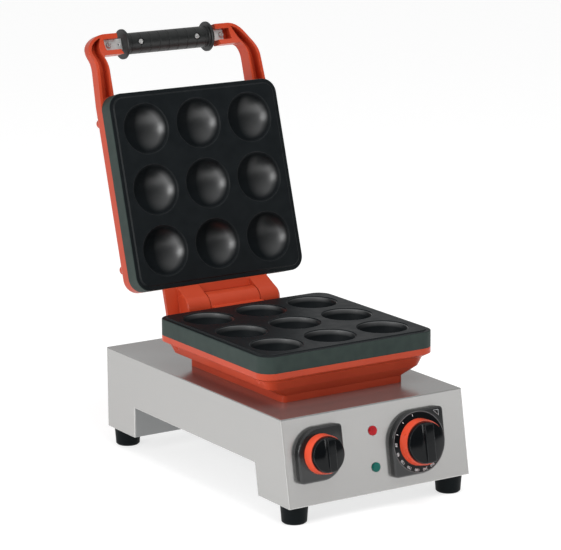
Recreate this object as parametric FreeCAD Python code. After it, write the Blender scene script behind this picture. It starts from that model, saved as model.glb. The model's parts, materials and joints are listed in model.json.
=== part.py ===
import FreeCAD, Part
import math
import os

os.makedirs("parts", exist_ok=True)
V = FreeCAD.Vector

# All sizes are in millimetres. The object stands on z = 0 and its front faces -Y.
# The origin lies under the middle of the whole object with its lid open.

# Chassis: a folded stainless box with a leaning front and a notch between its legs.
CHASSIS_W = 300.0
CHASSIS_D = 500.0
CHASSIS_H = 121.0
FRONT_LEAN = 21.0
SHEET = 1.5
FRONT_LEG = 79.5
REAR_LEG = 79.0
NOTCH_H = 45.5
CENTRE_Y = -35.5
FLANGE_W = 10.0

# Vents in the bottom and the rear, and the gland beside them.
VENT_W = 5.0
PAN_VENT_PITCH = 24.0
PAN_VENT_L = 120.0
REAR_VENT_X = 100.0
REAR_VENT_PITCH = 16.0
REAR_VENT_Z = 45.0
REAR_VENT_H = 40.0
GLAND_FROM_SIDE = 55.0
GLAND_UP = 40.0
GLAND_THREAD_R = 8.0
GLAND_HEX_R = 12.0
GLAND_HEX_T = 5.0
GLAND_DOME_R = 11.0
GLAND_DOME_TIP_R = 7.5
GLAND_DOME_H = 9.0
GLAND_BORE_R = 4.5
NUT_T = 4.0
BLOCK_W = 56.0
BLOCK_D = 22.0
BLOCK_H = 18.0
BLOCK_FROM_GLAND = 9.0
BLOCK_FROM_REAR = 45.0
WELL_PITCH = 14.0
WELL_ROW = 5.0
WELL_R = 3.0
WELL_DEPTH = 10.0

# Feet.
FOOT_H = 26.0
FOOT_R = 19.5
FOOT_TAPER = 2.0
FOOT_INSET = 21.0
FOOT_EDGE = 2.0

# Plates and their nine cavities.
PLATE_W = 288.0
PLATE_D = 292.0
PLATE_R = 22.0
SKIRT_H = 25.2
SKIRT_T = 6.0
PLATE_T = 7.0
BORDER = 6.0
BORDER_STEP = 1.5
PLATE_EDGE = 1.5
CAVITY_R = 36.0
CAVITY_DEPTH = 33.0
CAVITY_WALL = 3.5
CAVITY_LIP = 2.0
BULGE_R = 39.5
BULGE_TIP_R = 22.0
CAVITY_SIDE = 19.0
CAVITY_END = 19.5
FACE_GAP = 0.3

# Lower casting, heights from the chassis top upward and insets from the plate outline.
PEDESTAL_H = 10.0
TAPER_H = 12.5
WALL_H = 12.5
LEDGE_H = 6.0
RIM_H = 8.6
PEDESTAL_IN_X = 43.0
PEDESTAL_IN_Y = 20.5
WALL_IN_X = 17.5
WALL_IN_Y = 13.0
LEDGE_IN_X = 11.0
LEDGE_IN_Y = 9.0
CAST_T = 8.0
FLOOR_T = 7.0
POCKET_IN = 10.0
POCKET_FLOOR = 4.0
RIB_HALF = 3.0
RIB_LIFT = 3.0
BOLT_IN = 16.0
BOLT_L = 10.0
SLEEVE_DROP = 8.0
SLEEVE_WALL = 3.0
SLEEVE_FLANGE = 4.0
SLEEVE_FLANGE_T = 2.0
SCREW_BITE = 11.0
INSULATION_T = 5.0

# Hinge.
HINGE_INSET = 104.0
HINGE_BACK = 33.3
HINGE_DROP = 5.7
KNUCKLE_R = 20.0
CENTRE_HALF = 42.0
COLLAR_T = 1.7
COLLAR_IN = 1.5
SIDE_END = 76.0
BLIND_END = 81.0
CAP_T = 3.5
CAP_IN = 3.0
PIN_R = 8.0
PIN_CLEAR = 0.05
BARREL_GAP = 1.5
KNUCKLE_EDGE = 1.2
PIN_SHORT = 4.0
LEDGE_LIFT = 0.6
LEDGE_OVER = 4.0
LEDGE_ROOT = 12.0
LEDGE_HEEL = 10.0
LUG_X = 101.5
LUG_T = 6.0
LUG_DROP = 14.0
LUG_ROUND = 3.0
BRACKET_DROP = 2.5
STOP_IN = 10.0
STOP_DEEP = 2.0
STOP_RISE = 5.0
STOP_T = 8.0
STOP_GAP = 0.4
OPEN_DEG = 106.26

# Lid casting.
LID_H = 23.2
LID_ROOF = 4.5
LID_ROUND = 9.0
LID_RIB_IN = 41.0
BOSS_R = 7.0
BOSS_RISE = 3.5
LID_RIB_PITCH = 70.5
LID_RIB_W = 8.0
LID_RIB_H = 2.0

# Handle bow, measured in the lid's closed position.
BOW_REACH = 95.0
BOW_RISE = 26.0
BOW_R = 34.0
ARM_INSET = 4.0
ARM_W = 20.0
CROSS_W = 33.0
RISE_NEAR = 7.0
RISE_FAR = 59.0
BOW_WALL = 4.0
BOW_FLOOR = 7.0
BOW_ROUND = 8.0
BOW_ROOT = 30.0
BOW_SHOULDER = 12.0
BOW_TURN = 5.0
GROOVE_ROOT = 25.0

# Grip and the strap that carries it.
GRIP_R = 16.0
GRIP_FROM_ARM = 45.0
STUB_GAP = 9.5
FLANGE_R = 22.5
FLANGE_T = 4.5
GRIP_LIFT = 36.0
STRAP_W = 17.0
STRAP_T = 4.0
STRAP_SHORT_LEFT = 1.0
STRAP_SHORT_RIGHT = 7.0
STRAP_SCREW_IN = 11.0
STRAP_HOLE_OUT = 4.5
STRAP_HOLE_R = 2.0
GRIP_SCREW_IN = 26.4
POCKET_WALL = 11.5
RING_PITCH = 16.0
RING_W = 1.2
RING_DEPTH = 0.8

# Controls on the leaning front: IN is from the near side, S is up the slope, heights stand off the front.
LEFT_IN = 53.5
LEFT_S = 69.0
LEFT_BEZEL = 37.0
LEFT_KNOB_R = 25.5
LEFT_RING_R = 28.0
RIGHT_IN = 85.5
RIGHT_S = 60.0
RIGHT_BEZEL = 44.5
RIGHT_KNOB_R = 30.0
RIGHT_RING_R = 33.0
BEZEL_T = 10.0
BEZEL_CORNER = 6.0
BEZEL_EDGE = 1.6
BEZEL_WALL = 3.0
BEZEL_RIM = 5.0
DIAL_T = 1.5
DIAL_MARGIN = 2.3
RING_T = 14.0
RING_DRAFT = 1.5
KNOB_TIP = 38.5
KNOB_BASE = 4.5
KNOB_FALL = 2.0
KNOB_DRAFT = 2.5
KNOB_EDGE = 1.5
KNOB_SHOULDER = 2.5
BAR_SHARE = 0.23
HOLLOW_TURN = 75.0
SHAFT_R = 3.0
SHAFT_IN = 20.0
SHAFT_FROM_TIP = 5.0
SHAFT_CLEAR = 0.05
LAMP_X = -4.5
LAMP_RED_S = 86.0
LAMP_GREEN_S = 35.0
LAMP_R = 6.75
LAMP_OUT = 3.0
SWITCH_HALF = 18.0
SWITCH_DEPTH = 26.0
THERMOSTAT_HALF = 22.0
THERMOSTAT_DEPTH = 30.0
BODY_CORNER = 3.0
NECK_T = 1.8
BLADE_HALF_W = 3.0
BLADE_HALF_T = 0.4
BLADE_L = 8.0

# Small parts and fits.
SEAT = 0.2
RUN = 0.3
SCREW_R = 2.5
HEAD_R = 4.5
HEAD_H = 2.8
HEAD_TIP_R = 3.4
CROSS_R = 2.5
CROSS_W2 = 0.55
CROSS_DEPTH = 1.4
ELEMENT_R = 4.0
ELEMENT_BEND = 14.0
WIRE_HOLE_R = 16.0
OVER = 1.0

# Values that follow from the sizes above.
TOP_Z = FOOT_H + CHASSIS_H
FRONT_Y = CENTRE_Y - CHASSIS_D / 2
REAR_Y = CENTRE_Y + CHASSIS_D / 2
TOP_FRONT_Y = FRONT_Y + FRONT_LEAN
LEAN = math.atan2(FRONT_LEAN, CHASSIS_H)
LEAN_DEG = math.degrees(LEAN)
HINGE_Y = REAR_Y - HINGE_INSET
PLATE_REAR = HINGE_Y - HINGE_BACK
PLATE_FRONT = PLATE_REAR - PLATE_D
PLATE_Y = (PLATE_REAR + PLATE_FRONT) / 2
TAPER_Z = TOP_Z + PEDESTAL_H
WALL_Z = TAPER_Z + TAPER_H
LEDGE_Z = WALL_Z + WALL_H
RIM_Z = LEDGE_Z + LEDGE_H
SKIRT_Z = RIM_Z + RIM_H
FACE_Z = SKIRT_Z + SKIRT_H
HINGE_Z = FACE_Z - HINGE_DROP
LID_FACE_Z = FACE_Z + FACE_GAP
LID_Z = LID_FACE_Z + SKIRT_H
LID_TOP_Z = LID_Z + LID_H
BOW_Y = PLATE_FRONT - BOW_REACH
BOW_DEPTH = LID_H
GRIP_Y = BOW_Y + CROSS_W / 2
GRIP_Z = LID_Z + GRIP_LIFT
CORNERS = [(-1, -1), (1, -1), (-1, 1), (1, 1)]
PITCH_X = PLATE_W / 2 - CAVITY_SIDE - CAVITY_R
PITCH_Y = PLATE_D / 2 - CAVITY_END - CAVITY_R
ARM_OUT = PLATE_W / 2 - ARM_INSET
ARM_IN = ARM_OUT - ARM_W
GRIP_HALF = ARM_IN - GRIP_FROM_ARM
POCKET_END = ARM_IN - POCKET_WALL
STRAP_SCREW_X = POCKET_END - STRAP_SCREW_IN
GRIP_SCREW_X = GRIP_HALF - GRIP_SCREW_IN
LEFT_X = LEFT_IN - CHASSIS_W / 2
RIGHT_X = CHASSIS_W / 2 - RIGHT_IN
SHAFT_TIP = KNOB_TIP - SHAFT_FROM_TIP
SCREW_IN = SKIRT_T + 3.0
SCREW_X = PLATE_W / 2 - SCREW_IN
SCREW_DY = PLATE_D / 2 - PLATE_R - 15.0
FOOT_X = CHASSIS_W / 2 - FOOT_INSET
FOOT_Y = CHASSIS_D / 2 - FOOT_INSET
PAN_X = CHASSIS_W / 2 - SHEET - SEAT
PAN_Z = FOOT_H + NOTCH_H
GLAND_X = CHASSIS_W / 2 - GLAND_FROM_SIDE
GLAND_Z = FOOT_H + GLAND_UP


def box(x0, x1, y0, y1, z0, z1):
    return Part.makeBox(x1 - x0, y1 - y0, z1 - z0, V(x0, y0, z0))


def cyl_z(x, y, z0, z1, r):
    return Part.makeCylinder(r, z1 - z0, V(x, y, z0), V(0, 0, 1))


def cyl_x(x0, x1, y, z, r):
    return Part.makeCylinder(r, x1 - x0, V(x0, y, z), V(1, 0, 0))


def polygon(points):
    return Part.makePolygon([V(*p) for p in points + points[:1]])


def prism(points, direction):
    """Solid from a flat outline, pushed along a direction."""
    return Part.Face(polygon(points)).extrude(direction)


def profile_yz(points, x0, x1):
    """Solid from an outline of (y, z) points between two x positions."""
    return prism([(x0, y, z) for y, z in points], V(x1 - x0, 0, 0))


def rounded_wire(half_x, half_y, y, z, r):
    """Rounded rectangle about (0, y) at height z."""
    edges = []
    k = r * (1 - math.sqrt(0.5))
    x0, x1 = -half_x, half_x
    y0, y1 = y - half_y, y + half_y
    lines = [
        ((x0 + r, y0), (x1 - r, y0)),
        ((x1, y0 + r), (x1, y1 - r)),
        ((x1 - r, y1), (x0 + r, y1)),
        ((x0, y1 - r), (x0, y0 + r)),
    ]
    mids = [(x1 - k, y0 + k), (x1 - k, y1 - k), (x0 + k, y1 - k), (x0 + k, y0 + k)]
    for i in range(4):
        start = lines[i][0]
        end = lines[i][1]
        after = lines[(i + 1) % 4][0]
        edges.append(Part.makeLine(V(start[0], start[1], z), V(end[0], end[1], z)))
        turn = Part.Arc(V(end[0], end[1], z), V(mids[i][0], mids[i][1], z), V(after[0], after[1], z))
        edges.append(turn.toShape())
    return Part.Wire(edges)


def rounded_block(half_x, half_y, y, z0, z1, r):
    return Part.Face(rounded_wire(half_x, half_y, y, z0, r)).extrude(V(0, 0, z1 - z0))


def plate_wire(inset, z):
    """The plates' outline at one height, set in on every side."""
    r = max(PLATE_R - inset, 2.0)
    return rounded_wire(PLATE_W / 2 - inset, PLATE_D / 2 - inset, PLATE_Y, z, r)


def plate_block(inset, z0, z1):
    """Block with the plates' outline, set in on every side."""
    return Part.Face(plate_wire(inset, z0)).extrude(V(0, 0, z1 - z0))


def arc_at(z, a, b, c):
    """Arc through three (x, y) points at height z."""
    return Part.Arc(V(a[0], a[1], z), V(b[0], b[1], z), V(c[0], c[1], z)).toShape()


def edges_at(shape, test):
    """Edges whose two ends and middle all pass a test on (x, y, z)."""
    found = []
    for edge in shape.Edges:
        a = edge.valueAt(edge.FirstParameter)
        b = edge.valueAt(edge.LastParameter)
        m = edge.valueAt((edge.FirstParameter + edge.LastParameter) / 2)
        if test(a) and test(b) and test(m):
            found.append(edge)
    return found


def near(a, b):
    return abs(a - b) < 0.01


def fuse(shapes):
    out = shapes[0]
    for shape in shapes[1:]:
        out = out.fuse(shape)
    return out.removeSplitter()


def cut(shape, tools):
    for tool in tools:
        shape = shape.cut(tool)
    return shape


def on_panel(shape, x, s):
    """Moves a shape drawn about z, with +z outward, onto the leaning front."""
    out = shape.copy()
    out.rotate(V(0, 0, 0), V(1, 0, 0), 90 - LEAN_DEG)
    y = FRONT_Y + s * math.sin(LEAN)
    z = FOOT_H + s * math.cos(LEAN)
    out.translate(V(x, y, z))
    return out


def opened(shape):
    """Turns a lid piece from closed to the open position of the photo."""
    out = shape.copy()
    out.rotate(V(0, HINGE_Y, HINGE_Z), V(1, 0, 0), -OPEN_DEG)
    return out


def mirrored(shape):
    return shape.mirror(V(0, 0, 0), V(1, 0, 0))


def screw(x, y, z, length, up=True):
    """Pan head screw: the head stands from z against its direction, the shank runs with it."""
    d = 1 if up else -1
    top = z - d * HEAD_H
    head = Part.makeCone(HEAD_R, HEAD_TIP_R, HEAD_H, V(x, y, z), V(0, 0, -d))
    shank = Part.makeCylinder(SCREW_R, length, V(x, y, z), V(0, 0, d))
    out = head.fuse(shank)
    z0 = min(top, top + d * CROSS_DEPTH)
    z1 = max(top, top + d * CROSS_DEPTH)
    out = out.cut(box(x - CROSS_R, x + CROSS_R, y - CROSS_W2, y + CROSS_W2, z0, z1))
    return out.cut(box(x - CROSS_W2, x + CROSS_W2, y - CROSS_R, y + CROSS_R, z0, z1))


def screw_hole(x, y, z, length, up=True):
    """Bore for the shank of a screw, a hair wider and longer."""
    d = 1 if up else -1
    return Part.makeCylinder(SCREW_R + PIN_CLEAR, length + SEAT, V(x, y, z), V(0, 0, d))


# Chassis group.

def chassis_outline(t):
    """(y, z) outline of the chassis side, set in by t on front and top."""
    lean_in = t / math.cos(LEAN)
    slope = FRONT_LEAN / CHASSIS_H
    low = FOOT_H
    top = TOP_Z - t
    return [
        (FRONT_Y + lean_in, low),
        (FRONT_Y + lean_in + (top - low) * slope, top),
        (REAR_Y, top),
        (REAR_Y, low),
    ]


def notch_outline(grow, low):
    """(y, z) outline of the notch between the legs, grown into the material."""
    slope = FRONT_LEAN / CHASSIS_H
    front = FRONT_Y + FRONT_LEG - grow
    top = PAN_Z + grow
    rear = REAR_Y - REAR_LEG + grow
    return [
        (front + (low - FOOT_H) * slope, low),
        (front + (top - FOOT_H) * slope, top),
        (rear, top),
        (rear, low),
    ]


def panel_holes():
    """Bores through the leaning front for shafts and lamps."""
    depth = 4 * SHEET
    tools = []
    for x, s, r in (
        (LEFT_X, LEFT_S, SHAFT_R + 2.0),
        (RIGHT_X, RIGHT_S, SHAFT_R + 2.0),
        (LAMP_X, LAMP_RED_S, LAMP_R * 0.8 + SEAT),
        (LAMP_X, LAMP_GREEN_S, LAMP_R * 0.8 + SEAT),
    ):
        tools.append(on_panel(cyl_z(0, 0, -depth, depth, r), x, s))
    return tools


def chassis_shell():
    half = CHASSIS_W / 2
    body = profile_yz(chassis_outline(0), -half, half)
    bend = edges_at(body, lambda p: near(p.z, TOP_Z) and (near(abs(p.x), half) or near(p.y, TOP_FRONT_Y)))
    body = body.makeFillet(SHEET, bend)
    inner = profile_yz(chassis_outline(SHEET), -half + SHEET, half - SHEET)
    drop = box(-half + SHEET, half - SHEET, FRONT_Y + 2 * SHEET, REAR_Y, FOOT_H - SHEET, FOOT_H + SHEET)
    notch = profile_yz(notch_outline(0, FOOT_H - SHEET), -half - SHEET, half + SHEET)
    body = cut(body, [inner, drop, notch] + panel_holes())
    sleeve = cyl_z(0, PLATE_Y, TOP_Z - 2 * SHEET, TOP_Z + SHEET, WIRE_HOLE_R)
    bolts = [cyl_z(x, y, TOP_Z - 2 * SHEET, TOP_Z + SHEET, SCREW_R + SEAT) for x, y in casting_bolt_points()]
    return cut(body, [sleeve] + bolts)


def bottom_pan():
    """Folded sheet that closes the chassis from below and follows the notch."""
    outer = profile_yz(notch_outline(SHEET, FOOT_H), -PAN_X, PAN_X)
    inner = profile_yz(notch_outline(0, FOOT_H - SHEET), -PAN_X - SHEET, PAN_X + SHEET)
    tray = outer.cut(inner)
    front_in = FRONT_Y + SHEET / math.cos(LEAN) + SEAT
    slope = FRONT_LEAN / CHASSIS_H
    front_edge = FRONT_Y + FRONT_LEG
    front = profile_yz(
        [
            (front_in, FOOT_H),
            (front_in + SHEET * slope, FOOT_H + SHEET),
            (front_edge + SHEET * slope, FOOT_H + SHEET),
            (front_edge, FOOT_H),
        ],
        -PAN_X,
        PAN_X,
    )
    rear = box(-PAN_X, PAN_X, REAR_Y - REAR_LEG, REAR_Y - SHEET - SEAT, FOOT_H, FOOT_H + SHEET)
    pan = fuse([tray, front, rear])
    vents = []
    for i in range(-4, 5):
        x = i * PAN_VENT_PITCH
        y0 = CENTRE_Y - PAN_VENT_L / 2
        y1 = CENTRE_Y + PAN_VENT_L / 2
        vents.append(box(x - VENT_W / 2, x + VENT_W / 2, y0, y1, PAN_Z - SHEET, PAN_Z + 2 * SHEET))
    screws = [cyl_z(x, y, FOOT_H - SHEET, FOOT_H + 2 * SHEET, SCREW_R + PIN_CLEAR) for x, y in foot_points()]
    return cut(pan, vents + screws)


def rear_panel():
    half = CHASSIS_W / 2 - SHEET - SEAT
    z0 = FOOT_H
    z1 = TOP_Z - SHEET - SEAT
    panel = box(-half, half, REAR_Y - SHEET, REAR_Y, z0, z1)
    vents = []
    for i in range(6):
        x = -REAR_VENT_X + REAR_VENT_PITCH * i
        low = z0 + REAR_VENT_Z
        high = low + REAR_VENT_H
        vents.append(box(x, x + VENT_W, REAR_Y - 2 * SHEET, REAR_Y + SHEET, low, high))
    start = V(GLAND_X, REAR_Y - 3 * SHEET, GLAND_Z)
    gland = Part.makeCylinder(GLAND_THREAD_R + SEAT, 4 * SHEET, start, V(0, 1, 0))
    return cut(panel, vents + [gland])


def foot_points():
    return [(sx * FOOT_X, CENTRE_Y + sy * FOOT_Y) for sx, sy in CORNERS]


def foot(x, y):
    body = Part.makeCone(FOOT_R - FOOT_TAPER, FOOT_R, FOOT_H, V(x, y, 0), V(0, 0, 1))
    rim = edges_at(body, lambda p: near(p.z, 0) and math.hypot(p.x - x, p.y - y) > FOOT_R / 2)
    body = body.makeChamfer(FOOT_EDGE, rim)
    recess = cyl_z(x, y, -OVER, FOOT_H / 2, HEAD_R + 2.0)
    bore = cyl_z(x, y, 0, FOOT_H + OVER, SCREW_R + PIN_CLEAR)
    return cut(body, [recess, bore])


def feet():
    return Part.makeCompound([foot(x, y) for x, y in foot_points()])


def foot_screws():
    seat = FOOT_H * 0.5
    length = FOOT_H - seat + 2 * SHEET
    return Part.makeCompound([screw(x, y, seat, length) for x, y in foot_points()])


def hexagon(x, y, z, r, turn):
    """Corners of a hexagon that faces along y."""
    points = []
    for i in range(6):
        a = math.radians(60 * i + turn)
        points.append((x + r * math.cos(a), y, z + r * math.sin(a)))
    return points


def cable_gland():
    """Hexagonal gland with a domed nut outside and its thread through the panel."""
    out = V(0, 1, 0)
    inside = SHEET + NUT_T + 4.0
    thread = Part.makeCylinder(GLAND_THREAD_R, inside + OVER, V(GLAND_X, REAR_Y - inside, GLAND_Z), out)
    collar = prism(hexagon(GLAND_X, REAR_Y, GLAND_Z, GLAND_HEX_R, 0), V(0, GLAND_HEX_T, 0))
    seat = V(GLAND_X, REAR_Y + GLAND_HEX_T, GLAND_Z)
    dome = Part.makeCone(GLAND_DOME_R, GLAND_DOME_TIP_R, GLAND_DOME_H, seat, out)
    reach = inside + GLAND_HEX_T + GLAND_DOME_H + 2 * OVER
    bore = Part.makeCylinder(GLAND_BORE_R, reach, V(GLAND_X, REAR_Y - inside - OVER, GLAND_Z), out)
    return fuse([thread, collar, dome]).cut(bore)


def gland_nut():
    y = REAR_Y - SHEET - NUT_T
    nut = prism(hexagon(GLAND_X, y, GLAND_Z, GLAND_HEX_R, 30), V(0, NUT_T, 0))
    start = V(GLAND_X, y - OVER, GLAND_Z)
    return nut.cut(Part.makeCylinder(GLAND_THREAD_R + PIN_CLEAR, NUT_T + 2 * OVER, start, V(0, 1, 0)))


def terminal_block():
    """Block on the bottom pan beside the gland, with its two rows of screw wells."""
    x0 = GLAND_X - BLOCK_FROM_GLAND - BLOCK_W
    y0 = REAR_Y - BLOCK_FROM_REAR
    z0 = FOOT_H + SHEET
    top = z0 + BLOCK_H
    body = box(x0, x0 + BLOCK_W, y0, y0 + BLOCK_D, z0, top)
    wells = []
    for i in range(int(BLOCK_W / WELL_PITCH)):
        for side in (-1, 1):
            x = x0 + (i + 0.5) * WELL_PITCH
            y = y0 + BLOCK_D / 2 + side * WELL_ROW
            wells.append(cyl_z(x, y, top - WELL_DEPTH, top + OVER, WELL_R))
    return cut(body, wells)


# Lower casting group.

def inset_wire(in_x, in_y, z):
    r = max(PLATE_R - in_x / 2, 8.0)
    return rounded_wire(PLATE_W / 2 - in_x, PLATE_D / 2 - in_y, PLATE_Y, z, r)


def loft(a, b):
    return Part.makeLoft([a, b], True, True)


def casting_bolt_points():
    x = PLATE_W / 2 - PEDESTAL_IN_X - BOLT_IN
    y = PLATE_D / 2 - PEDESTAL_IN_Y - BOLT_IN
    return [(sx * x, PLATE_Y + sy * y) for sx, sy in CORNERS]


def centre_knuckle():
    """Barrel in the middle of the hinge, its bracket and the stop for the open lid."""
    half = CENTRE_HALF
    barrel = cyl_x(-half, half, HINGE_Y, HINGE_Z, KNUCKLE_R)
    reach = PLATE_REAR - LEDGE_IN_Y - CAST_T
    bracket = profile_yz(
        [
            (reach, WALL_Z),
            (HINGE_Y - KNUCKLE_R * 0.2, HINGE_Z - KNUCKLE_R * 0.96),
            (HINGE_Y, HINGE_Z),
            (HINGE_Y - KNUCKLE_R * 0.85, FACE_Z - BRACKET_DROP),
            (PLATE_REAR + SEAT, FACE_Z - BRACKET_DROP),
            (PLATE_REAR + SEAT, SKIRT_Z),
            (reach, SKIRT_Z),
        ],
        -half,
        half,
    )
    stop_x = half - STOP_IN
    stop = box(-stop_x, stop_x, KNUCKLE_R - STOP_DEEP, KNUCKLE_R + STOP_RISE, -STOP_T, 0)
    stop.rotate(V(0, 0, 0), V(1, 0, 0), 90 - OPEN_DEG - math.degrees(STOP_GAP / (KNUCKLE_R + STOP_DEEP)))
    stop.translate(V(0, HINGE_Y, HINGE_Z))
    return [barrel, bracket, stop]


def lower_pocket():
    """Hollow under the lower plate, wider near the rim."""
    wide = CAST_T + POCKET_IN
    low = rounded_block(PLATE_W / 2 - WALL_IN_X - CAST_T, PLATE_D / 2 - WALL_IN_Y - CAST_T, PLATE_Y,
                        TAPER_Z + CAST_T + FLOOR_T, RIM_Z, PLATE_R)
    high = rounded_block(PLATE_W / 2 - wide, PLATE_D / 2 - wide, PLATE_Y,
                         LEDGE_Z + POCKET_FLOOR, SKIRT_Z + OVER, PLATE_R)
    return [low, high]


def lower_casting():
    foot_wire = inset_wire(PEDESTAL_IN_X, PEDESTAL_IN_Y, TOP_Z)
    foot_top = inset_wire(PEDESTAL_IN_X, PEDESTAL_IN_Y, TAPER_Z)
    wall_low = inset_wire(WALL_IN_X, WALL_IN_Y, WALL_Z)
    wall_top = inset_wire(LEDGE_IN_X, LEDGE_IN_Y, LEDGE_Z)
    rim_low = inset_wire(0, 0, RIM_Z)
    layers = [
        loft(foot_wire, foot_top),
        loft(foot_top, wall_low),
        loft(wall_low, wall_top),
        loft(wall_top, rim_low),
        plate_block(0, RIM_Z, SKIRT_Z),
    ]
    body = fuse(layers + centre_knuckle())
    under = rounded_block(PLATE_W / 2 - PEDESTAL_IN_X - CAST_T, PLATE_D / 2 - PEDESTAL_IN_Y - CAST_T, PLATE_Y,
                          TOP_Z - OVER, TAPER_Z + CAST_T, PLATE_R - CAST_T)
    pillars = [cyl_z(x, y, TOP_Z, TAPER_Z + CAST_T, CAST_T + OVER) for x, y in casting_bolt_points()]
    long_x = PLATE_W / 2 - PEDESTAL_IN_X - CAST_T / 2
    long_y = PLATE_D / 2 - PEDESTAL_IN_Y - CAST_T / 2
    ribs = [
        box(-RIB_HALF, RIB_HALF, PLATE_Y - long_y, PLATE_Y + long_y, TOP_Z + RIB_LIFT, TAPER_Z + CAST_T),
        box(-long_x, long_x, PLATE_Y - RIB_HALF, PLATE_Y + RIB_HALF, TOP_Z + RIB_LIFT, TAPER_Z + CAST_T),
    ]
    under = cut(under, pillars + ribs)
    body = cut(body, lower_pocket() + [under])
    wires = cyl_z(0, PLATE_Y, TOP_Z - OVER, LEDGE_Z, WIRE_HOLE_R)
    pin = cyl_x(-CENTRE_HALF - OVER, CENTRE_HALF + OVER, HINGE_Y, HINGE_Z, PIN_R + PIN_CLEAR)
    bolts = [screw_hole(x, y, TOP_Z - OVER, BOLT_L + OVER) for x, y in casting_bolt_points()]
    screws = []
    for x, y in plate_screw_points():
        screws.append(cyl_z(x, y, WALL_Z, RIM_Z, HEAD_R + OVER))
        screws.append(cyl_z(x, y, RIM_Z - OVER, SKIRT_Z + OVER, SCREW_R + PIN_CLEAR))
    return cut(body, [wires, pin] + bolts + screws)


def casting_bolts():
    z = TOP_Z - SHEET
    return Part.makeCompound([screw(x, y, z, BOLT_L) for x, y in casting_bolt_points()])


def wire_sleeve():
    """Bush through the chassis top into the casting floor, for the element wires."""
    r = WIRE_HOLE_R - SEAT
    tube = cyl_z(0, PLATE_Y, TOP_Z - SLEEVE_DROP, TAPER_Z + CAST_T + FLOOR_T, r)
    seat = TOP_Z - SHEET
    flange = cyl_z(0, PLATE_Y, seat - SLEEVE_FLANGE_T, seat, r + SLEEVE_FLANGE)
    bore = cyl_z(0, PLATE_Y, TOP_Z - SLEEVE_DROP - OVER, LEDGE_Z, r - SLEEVE_WALL)
    return fuse([tube, flange]).cut(bore)


# Plates.

def cavity_centres():
    return [(i * PITCH_X, PLATE_Y + j * PITCH_Y) for j in (-1, 0, 1) for i in (-1, 0, 1)]


def cavity_sphere():
    """Radius of the cavity and how far its centre stands above the face."""
    r = (CAVITY_R ** 2 + CAVITY_DEPTH ** 2) / (2 * CAVITY_DEPTH)
    return r, r - CAVITY_DEPTH


def cavity_cutter():
    """Turned solid of one cavity with a bevelled lip, its face at z = 0."""
    r, rise = cavity_sphere()
    edge = math.sqrt(r * r - (rise + CAVITY_LIP) ** 2)
    half = math.atan2(edge, rise + CAVITY_LIP) / 2
    low = V(0, 0, -CAVITY_DEPTH)
    middle = V(r * math.sin(half), 0, rise - r * math.cos(half))
    lip = V(edge, 0, -CAVITY_LIP)
    mouth = V(edge + CAVITY_LIP, 0, 0)
    edges = [
        Part.Arc(low, middle, lip).toShape(),
        Part.makeLine(lip, mouth),
        Part.makeLine(mouth, mouth + V(0, 0, OVER)),
        Part.makeLine(mouth + V(0, 0, OVER), V(0, 0, OVER)),
        Part.makeLine(V(0, 0, OVER), low),
    ]
    return Part.Face(Part.Wire(edges)).revolve(V(0, 0, 0), V(0, 0, 1), 360)


def cavity_bulge(x, y):
    """Drafted boss under the face that holds one cavity."""
    top = FACE_Z - PLATE_T / 2
    low = FACE_Z - CAVITY_DEPTH - CAVITY_WALL
    return Part.makeCone(BULGE_TIP_R, BULGE_R, top - low, V(x, y, low), V(0, 0, 1))


def plate_screw_points():
    return [(sx * SCREW_X, PLATE_Y + sy * SCREW_DY) for sx, sy in CORNERS]


def plate():
    """Lower plate: skirt, face with its set-in border, nine bowls and four screw bosses."""
    body = plate_block(0, SKIRT_Z, FACE_Z)
    hollow = plate_block(SKIRT_T, SKIRT_Z - OVER, FACE_Z - PLATE_T)
    low = FACE_Z - BORDER_STEP
    raised = loft(plate_wire(BORDER, low), plate_wire(BORDER + BORDER_STEP + OVER, FACE_Z + OVER))
    rim = plate_block(-OVER, low, FACE_Z + OVER).cut(raised)
    body = cut(body, [hollow, rim])
    outer = edges_at(body, lambda p: near(p.z, FACE_Z - BORDER_STEP) and not inside_border(p))
    body = body.makeFillet(PLATE_EDGE, outer)
    extra = [cavity_bulge(x, y) for x, y in cavity_centres()]
    for x, y in plate_screw_points():
        post = cyl_z(x, y, SKIRT_Z, FACE_Z - 2, BOSS_R)
        extra.append(post.common(plate_block(1, SKIRT_Z, FACE_Z)))
    body = fuse([body] + extra)
    tools = []
    for x, y in cavity_centres():
        tool = cavity_cutter()
        tool.translate(V(x, y, FACE_Z))
        tools.append(tool)
    tools += [screw_hole(x, y, SKIRT_Z - OVER, SCREW_BITE + 2 * OVER) for x, y in plate_screw_points()]
    return cut(body, tools)


def inside_border(p):
    """Whether a point lies on or within the line where the border meets the face."""
    limit_x = PLATE_W / 2 - BORDER + 0.1
    limit_y = PLATE_D / 2 - BORDER + 0.1
    return abs(p.x) < limit_x and abs(p.y - PLATE_Y) < limit_y


def flipped(shape):
    """Lid twin of a lower plate piece, turned over about the closed joint."""
    out = shape.mirror(V(0, 0, (FACE_Z + LID_FACE_Z) / 2), V(0, 0, 1))
    return out


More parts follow.
